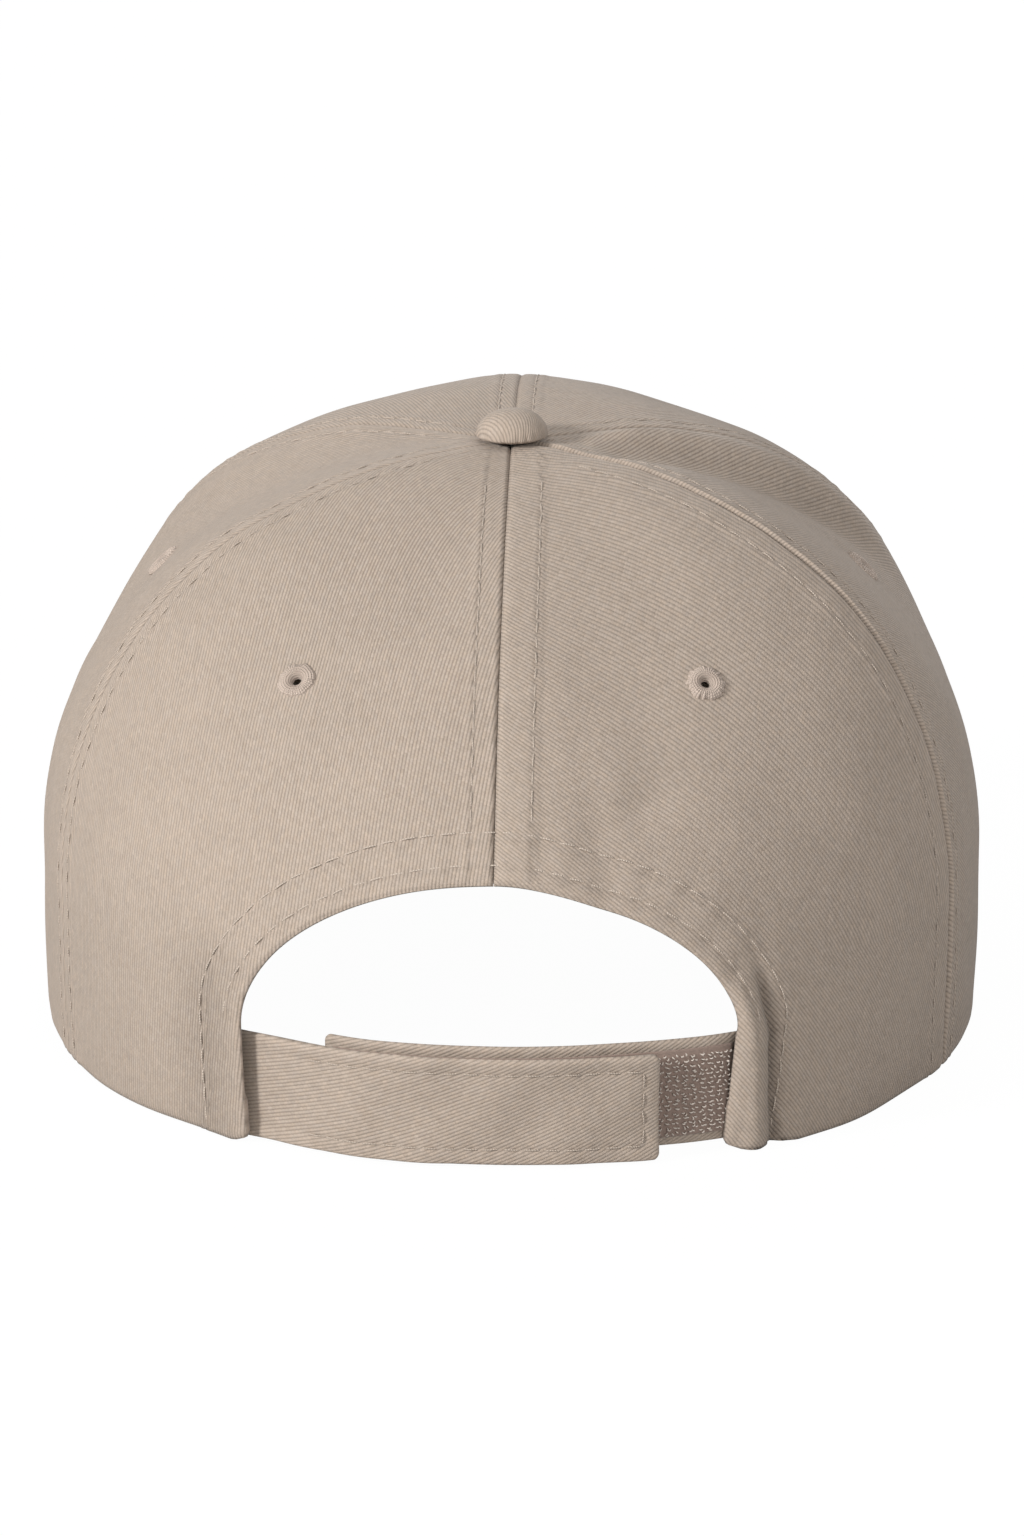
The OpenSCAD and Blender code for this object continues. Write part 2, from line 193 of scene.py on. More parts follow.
BUTTON_FOOT = 0.7
HALF_WIDTH = node_box("panel_side_left")[1][0]
CROWN_LENGTH = -node_box("panel_front_left")[0][1]
CROWN_HEIGHT = node_box("button_cover")[0][2] - BUTTON_FOOT
BUTTON_RADIUS = node_box("button_cover")[1][0]
BUTTON_TOP = node_box("button_cover")[1][2]
WIDEST_HEIGHT = 34.0
FRONT_RIM_HEIGHT = 22.0
FRONT_CREST = 4.0
CREST_PLACE = 0.37
CREST_SPREAD = 0.22
FRONT_SQUARENESS = 4.3
SIDE_SQUARENESS = 2.2
BACK_SQUARENESS = 1.5
RIM_TUCK = 0.01
SEAM_RIDGE = 0.046
RIM_RISE_POWER = 1.97
RIM_FLAT_COS = 0.75
FRONT_SIDE_SEAM = 61.0
SIDE_BACK_SEAM = 112.0
APEX_W = 0.018

ARCH_LEFT = 47.0
ARCH_RIGHT = 44.8
ARCH_SIDE_HEIGHT = 24.0
ARCH_RISE = 28.7
ARCH_SAG = 1.3
LEAN_LEFT = 0.9
LEAN_RIGHT = 1.6
RIM_CORNER = 2.6

PANEL_THICKNESS = 0.8
FOLD_U = 290.0
STITCH_PITCH = 3.75


UP = np.array([0, 0, 1.0])


def unit(v):
    return v / np.maximum(np.linalg.norm(v, axis=-1, keepdims=True), 1e-12)


def smoothstep(low, high, x):
    t = np.clip((x - low) / (high - low), 0, 1)
    return t * t * (3 - 2 * t)


def bell(x, centre, width):
    return np.exp(-((x - centre) / width) ** 2)


def signed_pow(v, e):
    return np.sign(v) * np.abs(v) ** e


def corner_cut(distance, radius):
    """How far a rounded corner cuts an edge back, at a distance from the other edge."""
    into_corner = np.clip(1 - distance / radius, 0, 1)
    return radius * (1 - np.sqrt(1 - into_corner ** 2))


def squareness(u):
    """Exponent of the superellipse that the crown's outline follows at u."""
    c = np.cos(np.radians(u))
    end = np.where(c > 0, FRONT_SQUARENESS, BACK_SQUARENESS)
    return SIDE_SQUARENESS + c * c * (end - SIDE_SQUARENESS)


def rim_z(u):
    """Height of the crown's rim: it rises towards the visor."""
    rise = (np.cos(np.radians(u)) + RIM_FLAT_COS) / (1 + RIM_FLAT_COS)
    return FRONT_RIM_HEIGHT * np.maximum(0, rise) ** RIM_RISE_POWER


def turn_from_front(u):
    """Angle from the centre front, the same on both sides."""
    return np.abs((u + 180) % 360 - 180)


def seam_wave(u):
    """1 on a seam and -1 midway between two seams."""
    v = turn_from_front(u)
    low = np.where(v < FRONT_SIDE_SEAM, 0, np.where(v < SIDE_BACK_SEAM, FRONT_SIDE_SEAM,
                                                    SIDE_BACK_SEAM))
    high = np.where(v < FRONT_SIDE_SEAM, FRONT_SIDE_SEAM,
                    np.where(v < SIDE_BACK_SEAM, SIDE_BACK_SEAM, 180))
    return np.cos(2 * np.pi * (v - low) / (high - low))


def crown_point(u, w):
    """Point of the crown's outer surface, before any relief."""
    u, w = np.broadcast_arrays(np.asarray(u, float), np.asarray(w, float))
    c, s = np.cos(np.radians(u)), np.sin(np.radians(u))
    n = squareness(u)
    base = np.sin(np.pi / 2 * np.clip(w, 0, 1))
    dome = WIDEST_HEIGHT + (CROWN_HEIGHT - WIDEST_HEIGHT) * np.maximum(
        1 - base ** n, 0) ** (1 / n)
    crest = FRONT_CREST * np.maximum(c, 0) ** 2 * bell(base, CREST_PLACE, CREST_SPREAD)
    low = WIDEST_HEIGHT + (rim_z(u) - WIDEST_HEIGHT) * (w - 1)
    z = np.where(w < 1, dome + crest, low)
    rho = np.where(w < 1,
                   base * (1 + SEAM_RIDGE * seam_wave(u) * np.sin(np.pi * base)),
                   1 - RIM_TUCK * ((WIDEST_HEIGHT - z) / WIDEST_HEIGHT) ** 2)
    return np.stack([rho * HALF_WIDTH * s, -rho * CROWN_LENGTH * c, z], -1)


def crown_normal(u, w):
    """Outward direction on the crown, level at the rim."""
    du, dw = 0.6, 0.012
    low = np.maximum(w - dw, 0.004)
    down = crown_point(u, w + dw) - crown_point(u, low)
    along = crown_point(u + du, w) - crown_point(u - du, w)
    n = unit(np.cross(down, along))
    level = unit(n * np.array([1, 1, 0.0]))
    k = smoothstep(1.9, 2.0, np.asarray(w, float))[..., None]
    return unit(n * (1 - k) + level * k)


def w_at(u, z):
    """The w of a height on the meridian u."""
    n = squareness(u)
    h = np.clip((z - WIDEST_HEIGHT) / (CROWN_HEIGHT - WIDEST_HEIGHT), 0, 1)
    upper = np.degrees(np.arcsin((1 - h ** n) ** (1 / n))) / 90
    lower = 1 + (WIDEST_HEIGHT - z) / (WIDEST_HEIGHT - rim_z(u))
    return np.where(z > WIDEST_HEIGHT, upper, lower)


def back_u(x, z):
    """The u of a point on the crown's back, from its x and z."""
    u = np.full(np.shape(x), 180.0) - np.sign(x) * 25
    for _ in range(8):
        radius = HALF_WIDTH * np.minimum(1, np.sin(np.pi / 2 * np.minimum(w_at(u, z), 1)))
        u = 180 - np.degrees(np.arcsin(np.clip(x / radius, -1, 1)))
    return u


def arch_point(a, grow=0.0):
    """Edge of the rear opening in x and z, at an angle from the +X side, moved out by grow.
    The cloth has settled: its arch is narrower and hangs lower on the wearer's right."""
    c = np.cos(np.radians(a))
    x = (np.where(c > 0, ARCH_LEFT, ARCH_RIGHT) + grow) * c
    z = ARCH_SIDE_HEIGHT + (ARCH_RISE + grow) * np.sin(np.radians(a))
    return x, z - ARCH_SAG * smoothstep(0, 20, -x) * np.sin(np.radians(a)) ** 0.5


def side_x(z, side, grow=0.0):
    """The rear opening's straight side at a height; it leans in a little towards the rim, and
    ends there in a rounded corner."""
    lean = 1 - np.clip(z / ARCH_SIDE_HEIGHT, 0, 1)
    corner = corner_cut(z, RIM_CORNER)
    if side > 0:
        return ARCH_LEFT + grow - LEAN_LEFT * lean + corner
    return -(ARCH_RIGHT + grow - LEAN_RIGHT * lean + corner)


def arch_path(grow=0.0, steps=181):
    """Points u, w along the rear opening from the rim at +X over the arch to the rim at -X."""
    x, z = arch_point(np.linspace(0, 180, steps), grow)
    foot = np.linspace(0, ARCH_SIDE_HEIGHT, 30)[:-1]
    x = np.concatenate([side_x(foot, 1, grow), x, side_x(foot[::-1], -1, grow)])
    z = np.concatenate([foot, z, foot[::-1]])
    u = back_u(x, z)
    return u, w_at(u, z)


# ---- Soft, wide relief of the cloth, in millimetres outwards ----

WAVE_SIZES = (46, 40, 33, 27, 21, 17, 13)
WAVE_TOTAL = 3.6
RNG = np.random.default_rng(7)
WAVES = [(RNG.uniform(-1, 1, 3), RNG.uniform(0, 6.28), size)
         for size in WAVE_SIZES for _ in range(2)]


def unevenness(p):
    """Slow uneven waves of the cloth over the crown, about 1 at the most."""
    total = np.zeros(p.shape[:-1])
    for direction, phase, size in WAVES:
        k = direction / np.linalg.norm(direction) * 2 * np.pi / size
        total += np.sin(p @ k + phase) * size / WAVE_SIZES[0]
    return total / WAVE_TOTAL


# u, w, width, height and depth of the hollows below the button and beside the back seam
DENTS = [(201.5, 0.655, 7, 5, 1.1), (193.5, 0.72, 3.5, 16, 0.7), (163, 0.31, 8, 16, 0.8),
         (222, 0.80, 13, 22, 0.5)]
DENT_RADIUS = 92
MM_PER_W = 140


def dent(u, w, at_u, at_w, wide, tall, depth):
    """A soft hollow at a place on the crown."""
    across = (u - at_u) * np.pi / 180 * DENT_RADIUS * np.sin(np.pi / 2 * at_w)
    down = (w - at_w) * MM_PER_W
    return -depth * np.exp(-(across / wide) ** 2 - (down / tall) ** 2)


def fold_place(u, w):
    """Distance from the crest of the fold on the wearer's right, and the fold's strength."""
    per_degree = np.radians(1) * HALF_WIDTH * np.sin(np.pi / 2 * np.minimum(w, 1))
    from_seam = (360 - FRONT_SIDE_SEAM - u) * per_degree
    strength = smoothstep(0.06, 0.18, w) * (1 - smoothstep(0.46, 0.68, w))
    return (u - FOLD_U) * per_degree, strength * smoothstep(0.5, 5, from_seam)


def soft_relief(u, w):
    """The cap's own folds and hollows, wide enough for every layer to follow."""
    p = crown_point(u, w)
    v = (u + 360) % 360
    out = 0.34 * unevenness(p) * smoothstep(0.05, 0.3, w)
    for each in DENTS:
        out = out + dent(v, w, *each)
    # long fold from the button over the wearer's right side panel
    across, keep = fold_place(v, w)
    out = out + (2.0 * bell(across, 0, 4.0) - 1.7 * bell(across, -8.5, 4.5)) * keep
    out = out + opening_relief(p)
    return out


def beyond_crease(p):
    """Distance past the crease beside the rear opening's right edge, away from the opening."""
    return -51.3 + 0.20 * np.maximum(p[..., 2] - 22, 0) - p[..., 0]


def below(value, low, high):
    """1 for values under low, 0 for values over high, smooth between them."""
    return 1 - smoothstep(low, high, value)


def crease_shade(p):
    """The crease's dark line, behind the cap and below the arch."""
    low = below(p[..., 2], 28, 38) * smoothstep(30, 60, p[..., 1])
    past = beyond_crease(p)
    return low * (-0.34 * bell(past, 0.2, 0.8) - 0.10 * bell(past, -1.0, 1.6))


def hollow_shade(p):
    """Darker cloth beside the opening's left edge, where it turns away from the light."""
    low = below(p[..., 2], 26, 46) * smoothstep(30, 60, p[..., 1])
    return -0.15 * low * bell(p[..., 0], 54.0, 5.5)


def opening_relief(p):
    """The edges of the rear opening stand away from the straps near their sewn ends."""
    x, y, z = p[..., 0], p[..., 1], p[..., 2]
    behind = smoothstep(30, 60, y)
    lift_left = 1.7 * bell(x, 45.5, 6.0) * below(z, 22, 36)
    # wearer's right: rolled hem strip, a sharp crease, then a full bulge
    beyond = beyond_crease(p)
    lift = 0.8 * bell(beyond, 0, 10) * below(z, 26, 44)
    hem = 2.3 * bell(beyond, -4.0, 2.4) * below(z, 24, 36)
    bulge = 2.0 * smoothstep(0.2, 4.2, beyond) * below(beyond, 10, 30) * below(z, 18, 44)
    crease = -1.4 * bell(beyond, 0, 0.9) * below(z, 30, 38)
    right = (lift + hem + bulge + crease) * (x < 0)
    return behind * (lift_left + right)


# ---- Mesh helpers ----

def new_mesh(name, points, quads, attributes=None):
    """Smooth mesh object from points in millimetres and quads as an N x 4 array."""
    mesh = bpy.data.meshes.new(name)
    quads = np.asarray(quads, np.int32)
    mesh.vertices.add(len(points))
    mesh.vertices.foreach_set("co", (np.asarray(points) * MM).astype(np.float32).ravel())
    mesh.loops.add(quads.size)
    mesh.loops.foreach_set("vertex_index", quads.ravel())
    mesh.polygons.add(len(quads))
    mesh.polygons.foreach_set("loop_start", np.arange(0, quads.size, 4, dtype=np.int32))
    mesh.update(calc_edges=True)
    mesh.polygons.foreach_set("use_smooth", np.ones(len(quads), bool))
    for key, values in (attributes or {}).items():
        values = np.asarray(values, np.float32)
        kind = "FLOAT" if values.ndim == 1 else "FLOAT_VECTOR"
        layer = mesh.attributes.new(key, kind, "POINT")
        layer.data.foreach_set("value" if values.ndim == 1 else "vector", values.ravel())
    return place_object(name, mesh)


def grid_of(rows, cols):
    return np.meshgrid(rows, cols, indexing="ij")


def grid_quads(rows, cols, start=0, flip=False):
    r, c = grid_of(np.arange(rows - 1), np.arange(cols - 1))
    a = start + r * cols + c
    quads = np.stack([a, a + cols, a + cols + 1, a + 1], -1).reshape(-1, 4)
    return quads[:, ::-1] if flip else quads


def rim_quads(rows, cols):
    """Closes the edge between two grids of the same size that follow each other."""
    ring = np.concatenate([np.arange(cols - 1),
                           np.arange(rows - 1) * cols + cols - 1,
                           (rows - 1) * cols + np.arange(cols - 1, 0, -1),
                           np.arange(rows - 1, 0, -1) * cols])
    after = np.roll(ring, -1)
    shift = rows * cols
    return np.stack([ring, after, after + shift, ring + shift], -1)


def tube_quads(rings, around):
    """Quads between rings of points that follow each other."""
    ring = np.arange(around)
    after = (ring + 1) % around
    return np.concatenate([np.stack([k * around + ring, k * around + after,
                                     (k + 1) * around + after, (k + 1) * around + ring], -1)
                           for k in range(rings - 1)])


def copies_of(quads, points_each, count):
    """The same quads for each of several copies of a shape."""
    return (np.arange(count)[:, None, None] * points_each + quads[None]).reshape(-1, 4)


def hole_walls(rows, cols, cut):
    """Walls between the two faces round the cells that are cut out."""
    number = np.arange(rows * cols).reshape(rows, cols)
    padded = np.pad(cut, 1)
    inside = padded[1:-1, 1:-1]
    walls = []
    # neighbour's offset, and the edge that it shares, as two corners of the cell
    for dr, dc, first, last in ((-1, 0, (0, 0), (0, 1)), (1, 0, (1, 1), (1, 0)),
                                (0, -1, (1, 0), (0, 0)), (0, 1, (0, 1), (1, 1))):
        beside = padded[1 + dr:rows + dr, 1 + dc:cols + dc]
        r, c = np.nonzero(inside & ~beside)
        a = number[r + first[0], c + first[1]]
        b = number[r + last[0], c + last[1]]
        walls.append(np.stack([b, a, a + rows * cols, b + rows * cols], -1))
    return np.concatenate(walls)


def slab(name, outer, inner, attributes=None, cut=None):
    """Closed cloth between two grids; attributes are given for one grid and used for both.
    cut marks the cells that are left out, such as an eyelet's hole."""
    rows, cols = outer.shape[:2]
    points = np.concatenate([outer.reshape(-1, 3), inner.reshape(-1, 3)])
    faces = [grid_quads(rows, cols), grid_quads(rows, cols, rows * cols, flip=True)]
    walls = [rim_quads(rows, cols)]
    if cut is not None:
        faces = [each[~cut.ravel()] for each in faces]
        walls.append(hole_walls(rows, cols, cut))
    quads = np.concatenate(faces + walls)
    doubled = {}
    for key, values in (attributes or {}).items():
        flat = values.reshape(rows * cols, -1)
        both = np.concatenate([flat, flat])
        doubled[key] = both[:, 0] if both.shape[1] == 1 else both
    made = new_mesh(name, points, quads, doubled)
    area = np.linalg.norm(np.cross(outer[1:, :-1] - outer[:-1, :-1],
                                   outer[:-1, 1:] - outer[:-1, :-1]), axis=-1).sum()
    made["cloth_area"] = float(area) * MM * MM
    return made


def weave_vector(across, up, rib_angle):
    """Cloth coordinates in millimetres: x across the twill ribs and y along them."""
    a = math.radians(rib_angle)
    return np.stack([across * math.sin(a) - up * math.cos(a),
                     across * math.cos(a) + up * math.sin(a),
                     np.zeros_like(across)], -1)


def path_lengths(points):
    """Distance along a line of points from its first one."""
    return np.concatenate([[0], np.cumsum(np.linalg.norm(np.diff(points, axis=0), axis=1))])


def row_lengths(grid):
    """Distance along each row from its first column."""
    step = np.linalg.norm(np.diff(grid, axis=1), axis=-1)
    return np.concatenate([np.zeros((grid.shape[0], 1)), np.cumsum(step, 1)], 1)


def column_lengths(grid):
    return row_lengths(grid.transpose(1, 0, 2)).T


def meridian_length(w, at_u):
    """Distance down the crown from the button to w, along the meridian at_u."""
    table_w = np.linspace(0, 2, 400)
    return np.interp(w, table_w, path_lengths(crown_point(at_u, table_w)))


def cloth_place(u, w, centre_u, length_u):
    """Smooth cloth coordinates in millimetres: across from the meridian centre_u, and up the
    meridian length_u."""
    radius = HALF_WIDTH * np.sin(np.pi / 2 * np.minimum(w, 1))
    return np.radians(u - centre_u) * radius, -meridian_length(w, length_u)


def dense_ends(length, count, fine):
    """Positions from 0 to length with steps of about fine near both ends."""
    t = np.linspace(0, 1, count)
    half = length / 2
    a = min(1.0, fine * (count - 1) / 2 / half)
    k = 1 - np.abs(2 * t - 1)
    d = half * (a * k + (1 - a) * k * k)
    return np.where(t < 0.5, d, length - d)


# ---- Materials ----

def srgb(r, g, b):
    """Linear colour from 0-255 display values."""
    def linear(v):
        v = v / 255
        return v / 12.92 if v <= 0.04045 else ((v + 0.055) / 1.055) ** 2.4
    return (linear(r), linear(g), linear(b), 1.0)


MATERIALS = {}


class Graph:
    """A new material, kept in MATERIALS, with short names for building its nodes."""

    def __init__(self, name, roughness, specular=0.25, sheen=0.0):
        MATERIALS[name] = bpy.data.materials.new(name)
        MATERIALS[name].use_nodes = True
        self.nodes = MATERIALS[name].node_tree.nodes
        self.links = MATERIALS[name].node_tree.links
        self.shader = self.nodes["Principled BSDF"]
        self.shader.inputs["Roughness"].default_value = roughness
        self.shader.inputs["Specular IOR Level"].default_value = specular
        self.shader.inputs["Sheen Weight"].default_value = sheen
        self.shader.inputs["Sheen Roughness"].default_value = 0.5

    def link(self, value, socket):
        if isinstance(value, bpy.types.NodeSocket):
            self.links.new(value, socket)
        else:
            socket.default_value = value

    def math(self, operation, a, b=0.0):
        node = self.nodes.new("ShaderNodeMath")
        node.operation = operation
        self.link(a, node.inputs[0])
        self.link(b, node.inputs[1])
        return node.outputs[0]

    def times(self, a, b):
        return self.math("MULTIPLY", a, b)

    def plus(self, a, b):
        return self.math("ADD", a, b)

    def vary(self, shade, value, centre, amount):
        """The shade, changed by how far a value is from its centre."""
        return self.plus(shade, self.times(self.math("SUBTRACT", value, centre), amount))

    def wave(self, place):
        """Humps between 0 and 1, one for each unit of the place."""
        return self.math("ABSOLUTE", self.math("SINE", place))

    def attribute(self, name, output="Vector"):
        node = self.nodes.new("ShaderNodeAttribute")
        node.attribute_name = name
        return node.outputs[output]

    def split(self, vector):
        node = self.nodes.new("ShaderNodeSeparateXYZ")
        self.links.new(vector, node.inputs[0])
        return node.outputs[0], node.outputs[1]

    def stretched(self, x, x_scale, y, y_scale):
        """A place made of two values, each with its own scale."""
        scaled = self.times(x, x_scale), self.times(y, y_scale)
        node = self.nodes.new("ShaderNodeCombineXYZ")
        self.link(scaled[0], node.inputs[0])
        self.link(scaled[1], node.inputs[1])
        return node.outputs[0]

    def noise(self, vector, scale, detail=3.0, roughness=0.55):
        node = self.nodes.new("ShaderNodeTexNoise")
        self.links.new(vector, node.inputs["Vector"])
        node.inputs["Scale"].default_value = scale
        node.inputs["Detail"].default_value = detail
        node.inputs["Roughness"].default_value = roughness
        return node.outputs["Fac"]

    def object_place(self):
        return self.nodes.new("ShaderNodeTexCoord").outputs["Object"]

    def ramp(self, factor, stops):
        node = self.nodes.new("ShaderNodeValToRGB")
        elements = node.color_ramp.elements
        while len(elements) < len(stops):
            elements.new(0.5)
        for element, (place, colour) in zip(elements, stops):
            element.position = place
            element.color = colour
        self.links.new(factor, node.inputs["Fac"])
        return node.outputs["Color"]

    def mix(self, factor, a, b, blend="MIX"):
        node = self.nodes.new("ShaderNodeMix")
        node.data_type = "RGBA"
        node.blend_type = blend
        self.link(factor, node.inputs["Factor"])
        self.link(a, node.inputs[6])
        self.link(b, node.inputs[7])
        return node.outputs[2]

    def grey(self, value):
        """A brightness as a colour."""
        node = self.nodes.new("ShaderNodeCombineColor")
        for socket in node.inputs:
            self.link(value, socket)
        return node.outputs[0]

    def bump(self, height, distance_mm):
        node = self.nodes.new("ShaderNodeBump")
        node.inputs["Distance"].default_value = distance_mm * MM
        self.links.new(height, node.inputs["Height"])
        self.links.new(node.outputs["Normal"], self.shader.inputs["Normal"])

    def colour(self, value):
        self.link(value, self.shader.inputs["Base Color"])

    def shaded(self, colour, shade):
        """Gives the material a colour times a brightness."""
        self.colour(self.mix(1.0, colour, self.grey(shade), "MULTIPLY"))


FLOAT_LENGTH = 1.25
FLOAT_STEP = 0.37
RIB_HEIGHT = 0.6
FLOAT_HEIGHT = 0.16
FIBRE_HEIGHT = 0.45
# how much each kind of unevenness changes the cloth's brightness
FLOAT_SHADE = 0.06
CELL_SHADE = 0.28
YARN_SHADE = 0.11
FIBRE_SHADE = 0.44
MOTTLE_SHADE = 0.12
COOL_TINT = (0.985, 1.0, 1.01, 1)
WARM_TINT = (1.0, 0.985, 0.955, 1)


def twill_material(name, colour, pitch=0.68, contrast=0.38, relief=0.12):
    """Cotton twill: slanting ribs, floats along each rib, uneven yarn and faint mottling.
    The attribute weave is in millimetres across and along the ribs; the other attribute brightens
    rubbed edges above 0, and below 0 darkens creases, grooves, folds and needle holes as painted
    shade."""
    g = Graph(name, roughness=0.86, specular=0.2, sheen=0.12)
    weave = g.attribute("weave")
    across, along = g.split(weave)
    wander = g.noise(g.stretched(across, 0.5, along, 0.08), 1.0, 2.0)
    rib_place = g.plus(g.math("DIVIDE", across, pitch), g.times(wander, 0.16))
    rib = g.wave(g.times(rib_place, math.pi))
    number = g.math("FLOOR", rib_place)
    float_place = g.plus(g.math("DIVIDE", along, pitch * FLOAT_LENGTH),
                         g.times(number, FLOAT_STEP))
    float_part = g.wave(g.times(float_place, math.pi))
    cell = g.noise(g.stretched(number, 5.3, g.math("FLOOR", float_place), 3.7), 1.0, 0.0)
    yarn = g.noise(g.stretched(number, 3.1, along, 0.22), 1.0, 3.0, 0.7)
    fibre = g.noise(weave, 3.4, 4.0, 0.7)
    height = g.plus(g.times(rib, RIB_HEIGHT), g.times(float_part, FLOAT_HEIGHT))
    g.bump(g.plus(height, g.times(fibre, FIBRE_HEIGHT)), relief)
    mottle = g.noise(g.object_place(), 70.0, 4.0, 0.6)
    # ribs and float middles lighter, the grooves between them darker: painted shade at the weave's
    # scale
    shade = g.plus(g.times(rib, contrast), 1.0 - contrast * 0.72)
    shade = g.vary(shade, float_part, 0.6, FLOAT_SHADE)
    shade = g.vary(shade, cell, 0.5, CELL_SHADE)
    shade = g.vary(shade, yarn, 0.5, YARN_SHADE)
    shade = g.vary(shade, fibre, 0.5, FIBRE_SHADE)
    shade = g.vary(shade, mottle, 0.5, MOTTLE_SHADE)
    # the per-vertex attribute adds rubbed-edge wear and painted shade in creases, grooves, folds
    # and needle holes
    shade = g.plus(shade, g.attribute("wear_and_shade", "Fac"))
    warm = g.noise(g.stretched(number, 1.7, along, 0.5), 1.0, 1.0)
    tint = g.ramp(warm, [(0.3, COOL_TINT), (0.7, WARM_TINT)])
    g.shaded(g.mix(1.0, colour, tint, "MULTIPLY"), shade)


def thread_material(name, colour):
    """Spun polyester thread; weave is millimetres along it and its turn in millimetres."""
    twist_length = 0.5
    g = Graph(name, roughness=0.62, specular=0.35, sheen=0.1)
    along, turn = g.split(g.attribute("weave"))
    twist = g.math("SINE", g.times(g.plus(along, turn), 2 * math.pi / twist_length))
    g.bump(twist, 0.05)
    lit = g.plus(g.times(twist, 0.09), 0.95)
    g.shaded(colour, g.vary(lit, g.noise(g.object_place(), 900.0, 2.0), 0.5, 0.2))


def mesh_cloth_material(name, colour):
    """Stiffened open-weave lining: a square net of flat yarns over darker gaps."""
    pitch = 0.95
    g = Graph(name, roughness=0.7, specular=0.3)
    gaps = [g.math("POWER", g.wave(g.times(v, math.pi / pitch)), 0.5)
            for v in g.split(g.attribute("weave"))]
    net = g.math("SUBTRACT", 1.0, g.times(*gaps))
    g.bump(net, 0.16)
    lit = g.plus(g.times(net, 0.34), 0.68)
    g.shaded(colour, g.vary(lit, g.noise(g.object_place(), 500.0, 3.0), 0.5, 0.12))


def darker(colour, share):
    return tuple(share * c for c in colour[:3]) + (1,)


def foam_material(name, colour):
    """Open-celled foam."""
    g = Graph(name, roughness=0.95, specular=0.1, sheen=0.2)
    cells = g.nodes.new("ShaderNodeTexVoronoi")
    g.links.new(g.object_place(), cells.inputs["Vector"])
    cells.inputs["Scale"].default_value = 1500.0
    g.bump(cells.outputs["Distance"], 0.15)
    # darker at the bottom of each cell: painted shade in the foam's pits
    g.colour(g.ramp(cells.outputs["Distance"], [(0.0, darker(colour, 0.8)), (0.6, colour)]))


def plastic_material(name, colour, roughness, grain=0.02, see_through=0.0):
    """Moulded plastic with a faint grain; a little light passes through thin parts."""
    g = Graph(name, roughness=roughness, specular=0.5)
    g.shader.inputs["Transmission Weight"].default_value = see_through
    speck = g.noise(g.object_place(), 1400.0, 3.0)
    g.bump(speck, grain)
    g.colour(g.ramp(speck, [(0.3, darker(colour, 0.86)), (0.7, colour)]))


def pile_material(name, colour, spread=0.35):
    """Brushed nylon pile and its knitted ground."""
    g = Graph(name, roughness=0.8, specular=0.3, sheen=0.35)
    fibre = g.noise(g.object_place(), 1600.0, 4.0, 0.7)
    rows = g.noise(g.object_place(), 500.0, 2.0)
    g.bump(fibre, 0.12)
    lit = g.plus(1.0 - spread / 2, g.times(fibre, spread))
    g.shaded(colour, g.vary(lit, rows, 0.5, 0.3))


def steel_material(name):
    """Brushed steel, its lines round the upright axis."""
    g = Graph(name, roughness=0.32, specular=0.5)
    g.shader.inputs["Metallic"].default_value = 1.0
    stretched = g.nodes.new("ShaderNodeMapping")
    stretched.inputs["Scale"].default_value = (1, 1, 12)
    g.links.new(g.object_place(), stretched.inputs["Vector"])
    lines = g.noise(stretched.outputs[0], 900.0, 4.0)
    g.bump(lines, 0.015)
    g.colour(g.ramp(lines, [(0.3, (0.42, 0.42, 0.41, 1)), (0.7, (0.62, 0.62, 0.60, 1))]))


twill_material("cap_twill", srgb(174, 159.5, 147.5))
twill_material("seam_tape", srgb(178, 164, 148), pitch=0.7, contrast=0.2)
twill_material("sweatband_cloth", srgb(186, 172, 157), pitch=0.6)
thread_material("thread", srgb(200, 186, 173))
# a darker copy of thread: painted shade for stitches sunk beside the seams, also used on the outer
# strap
thread_material("shaded_thread", srgb(192, 178, 165))
thread_material("eyelet_thread", srgb(196, 180, 168))
mesh_cloth_material("buckram", srgb(226, 222, 211))
foam_material("foam", srgb(228, 224, 212))
pile_material("loop_tape", srgb(150, 131, 120))
pile_material("hook_tape", srgb(146, 127, 117), spread=0.6)
plastic_material("hook_strand", srgb(232, 221, 211), 0.25, 0.01, see_through=0.15)
plastic_material("visor_plastic", srgb(212, 210, 204), 0.45)
steel_material("pressed_steel")


def finish_piece(piece, material, body="crown", replaces=()):
    """Gives a piece its material, slot and body, and hides the CAD nodes that it stands for."""
    piece.data.materials.append(MATERIALS[material])
    if body:
        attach(piece, body)
    if replaces:
        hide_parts(*replaces)
    return piece


# ---- Sewing thread ----

THREAD_RADIUS = 0.17
STITCH_SHARE = 0.88
CAPSULE = [(-0.5, 0.02, -0.30), (-0.46, 0.75, -0.18), (-0.30, 1.0, 0.02), (0.0, 1.05, 0.10),
           (0.30, 1.0, 0.02), (0.46, 0.75, -0.18), (0.5, 0.02, -0.30)]
THREAD_SIDES = 6


def resample(points, normals, pitch):
    """Places pitch apart along a line, with the line's direction and normal there."""
    s = path_lengths(points)
    count = max(int(round(s[-1] / pitch)), 1)
    at = (np.arange(count) + 0.5) * s[-1] / count

    def pick(values, where):
        return np.stack([np.interp(where, s, values[:, k]) for k in range(3)], -1)

    centre = pick(points, at)
    forward = unit(pick(points, at + 0.4) - pick(points, at - 0.4))
    return centre, forward, unit(pick(normals, at)), s[-1] / count


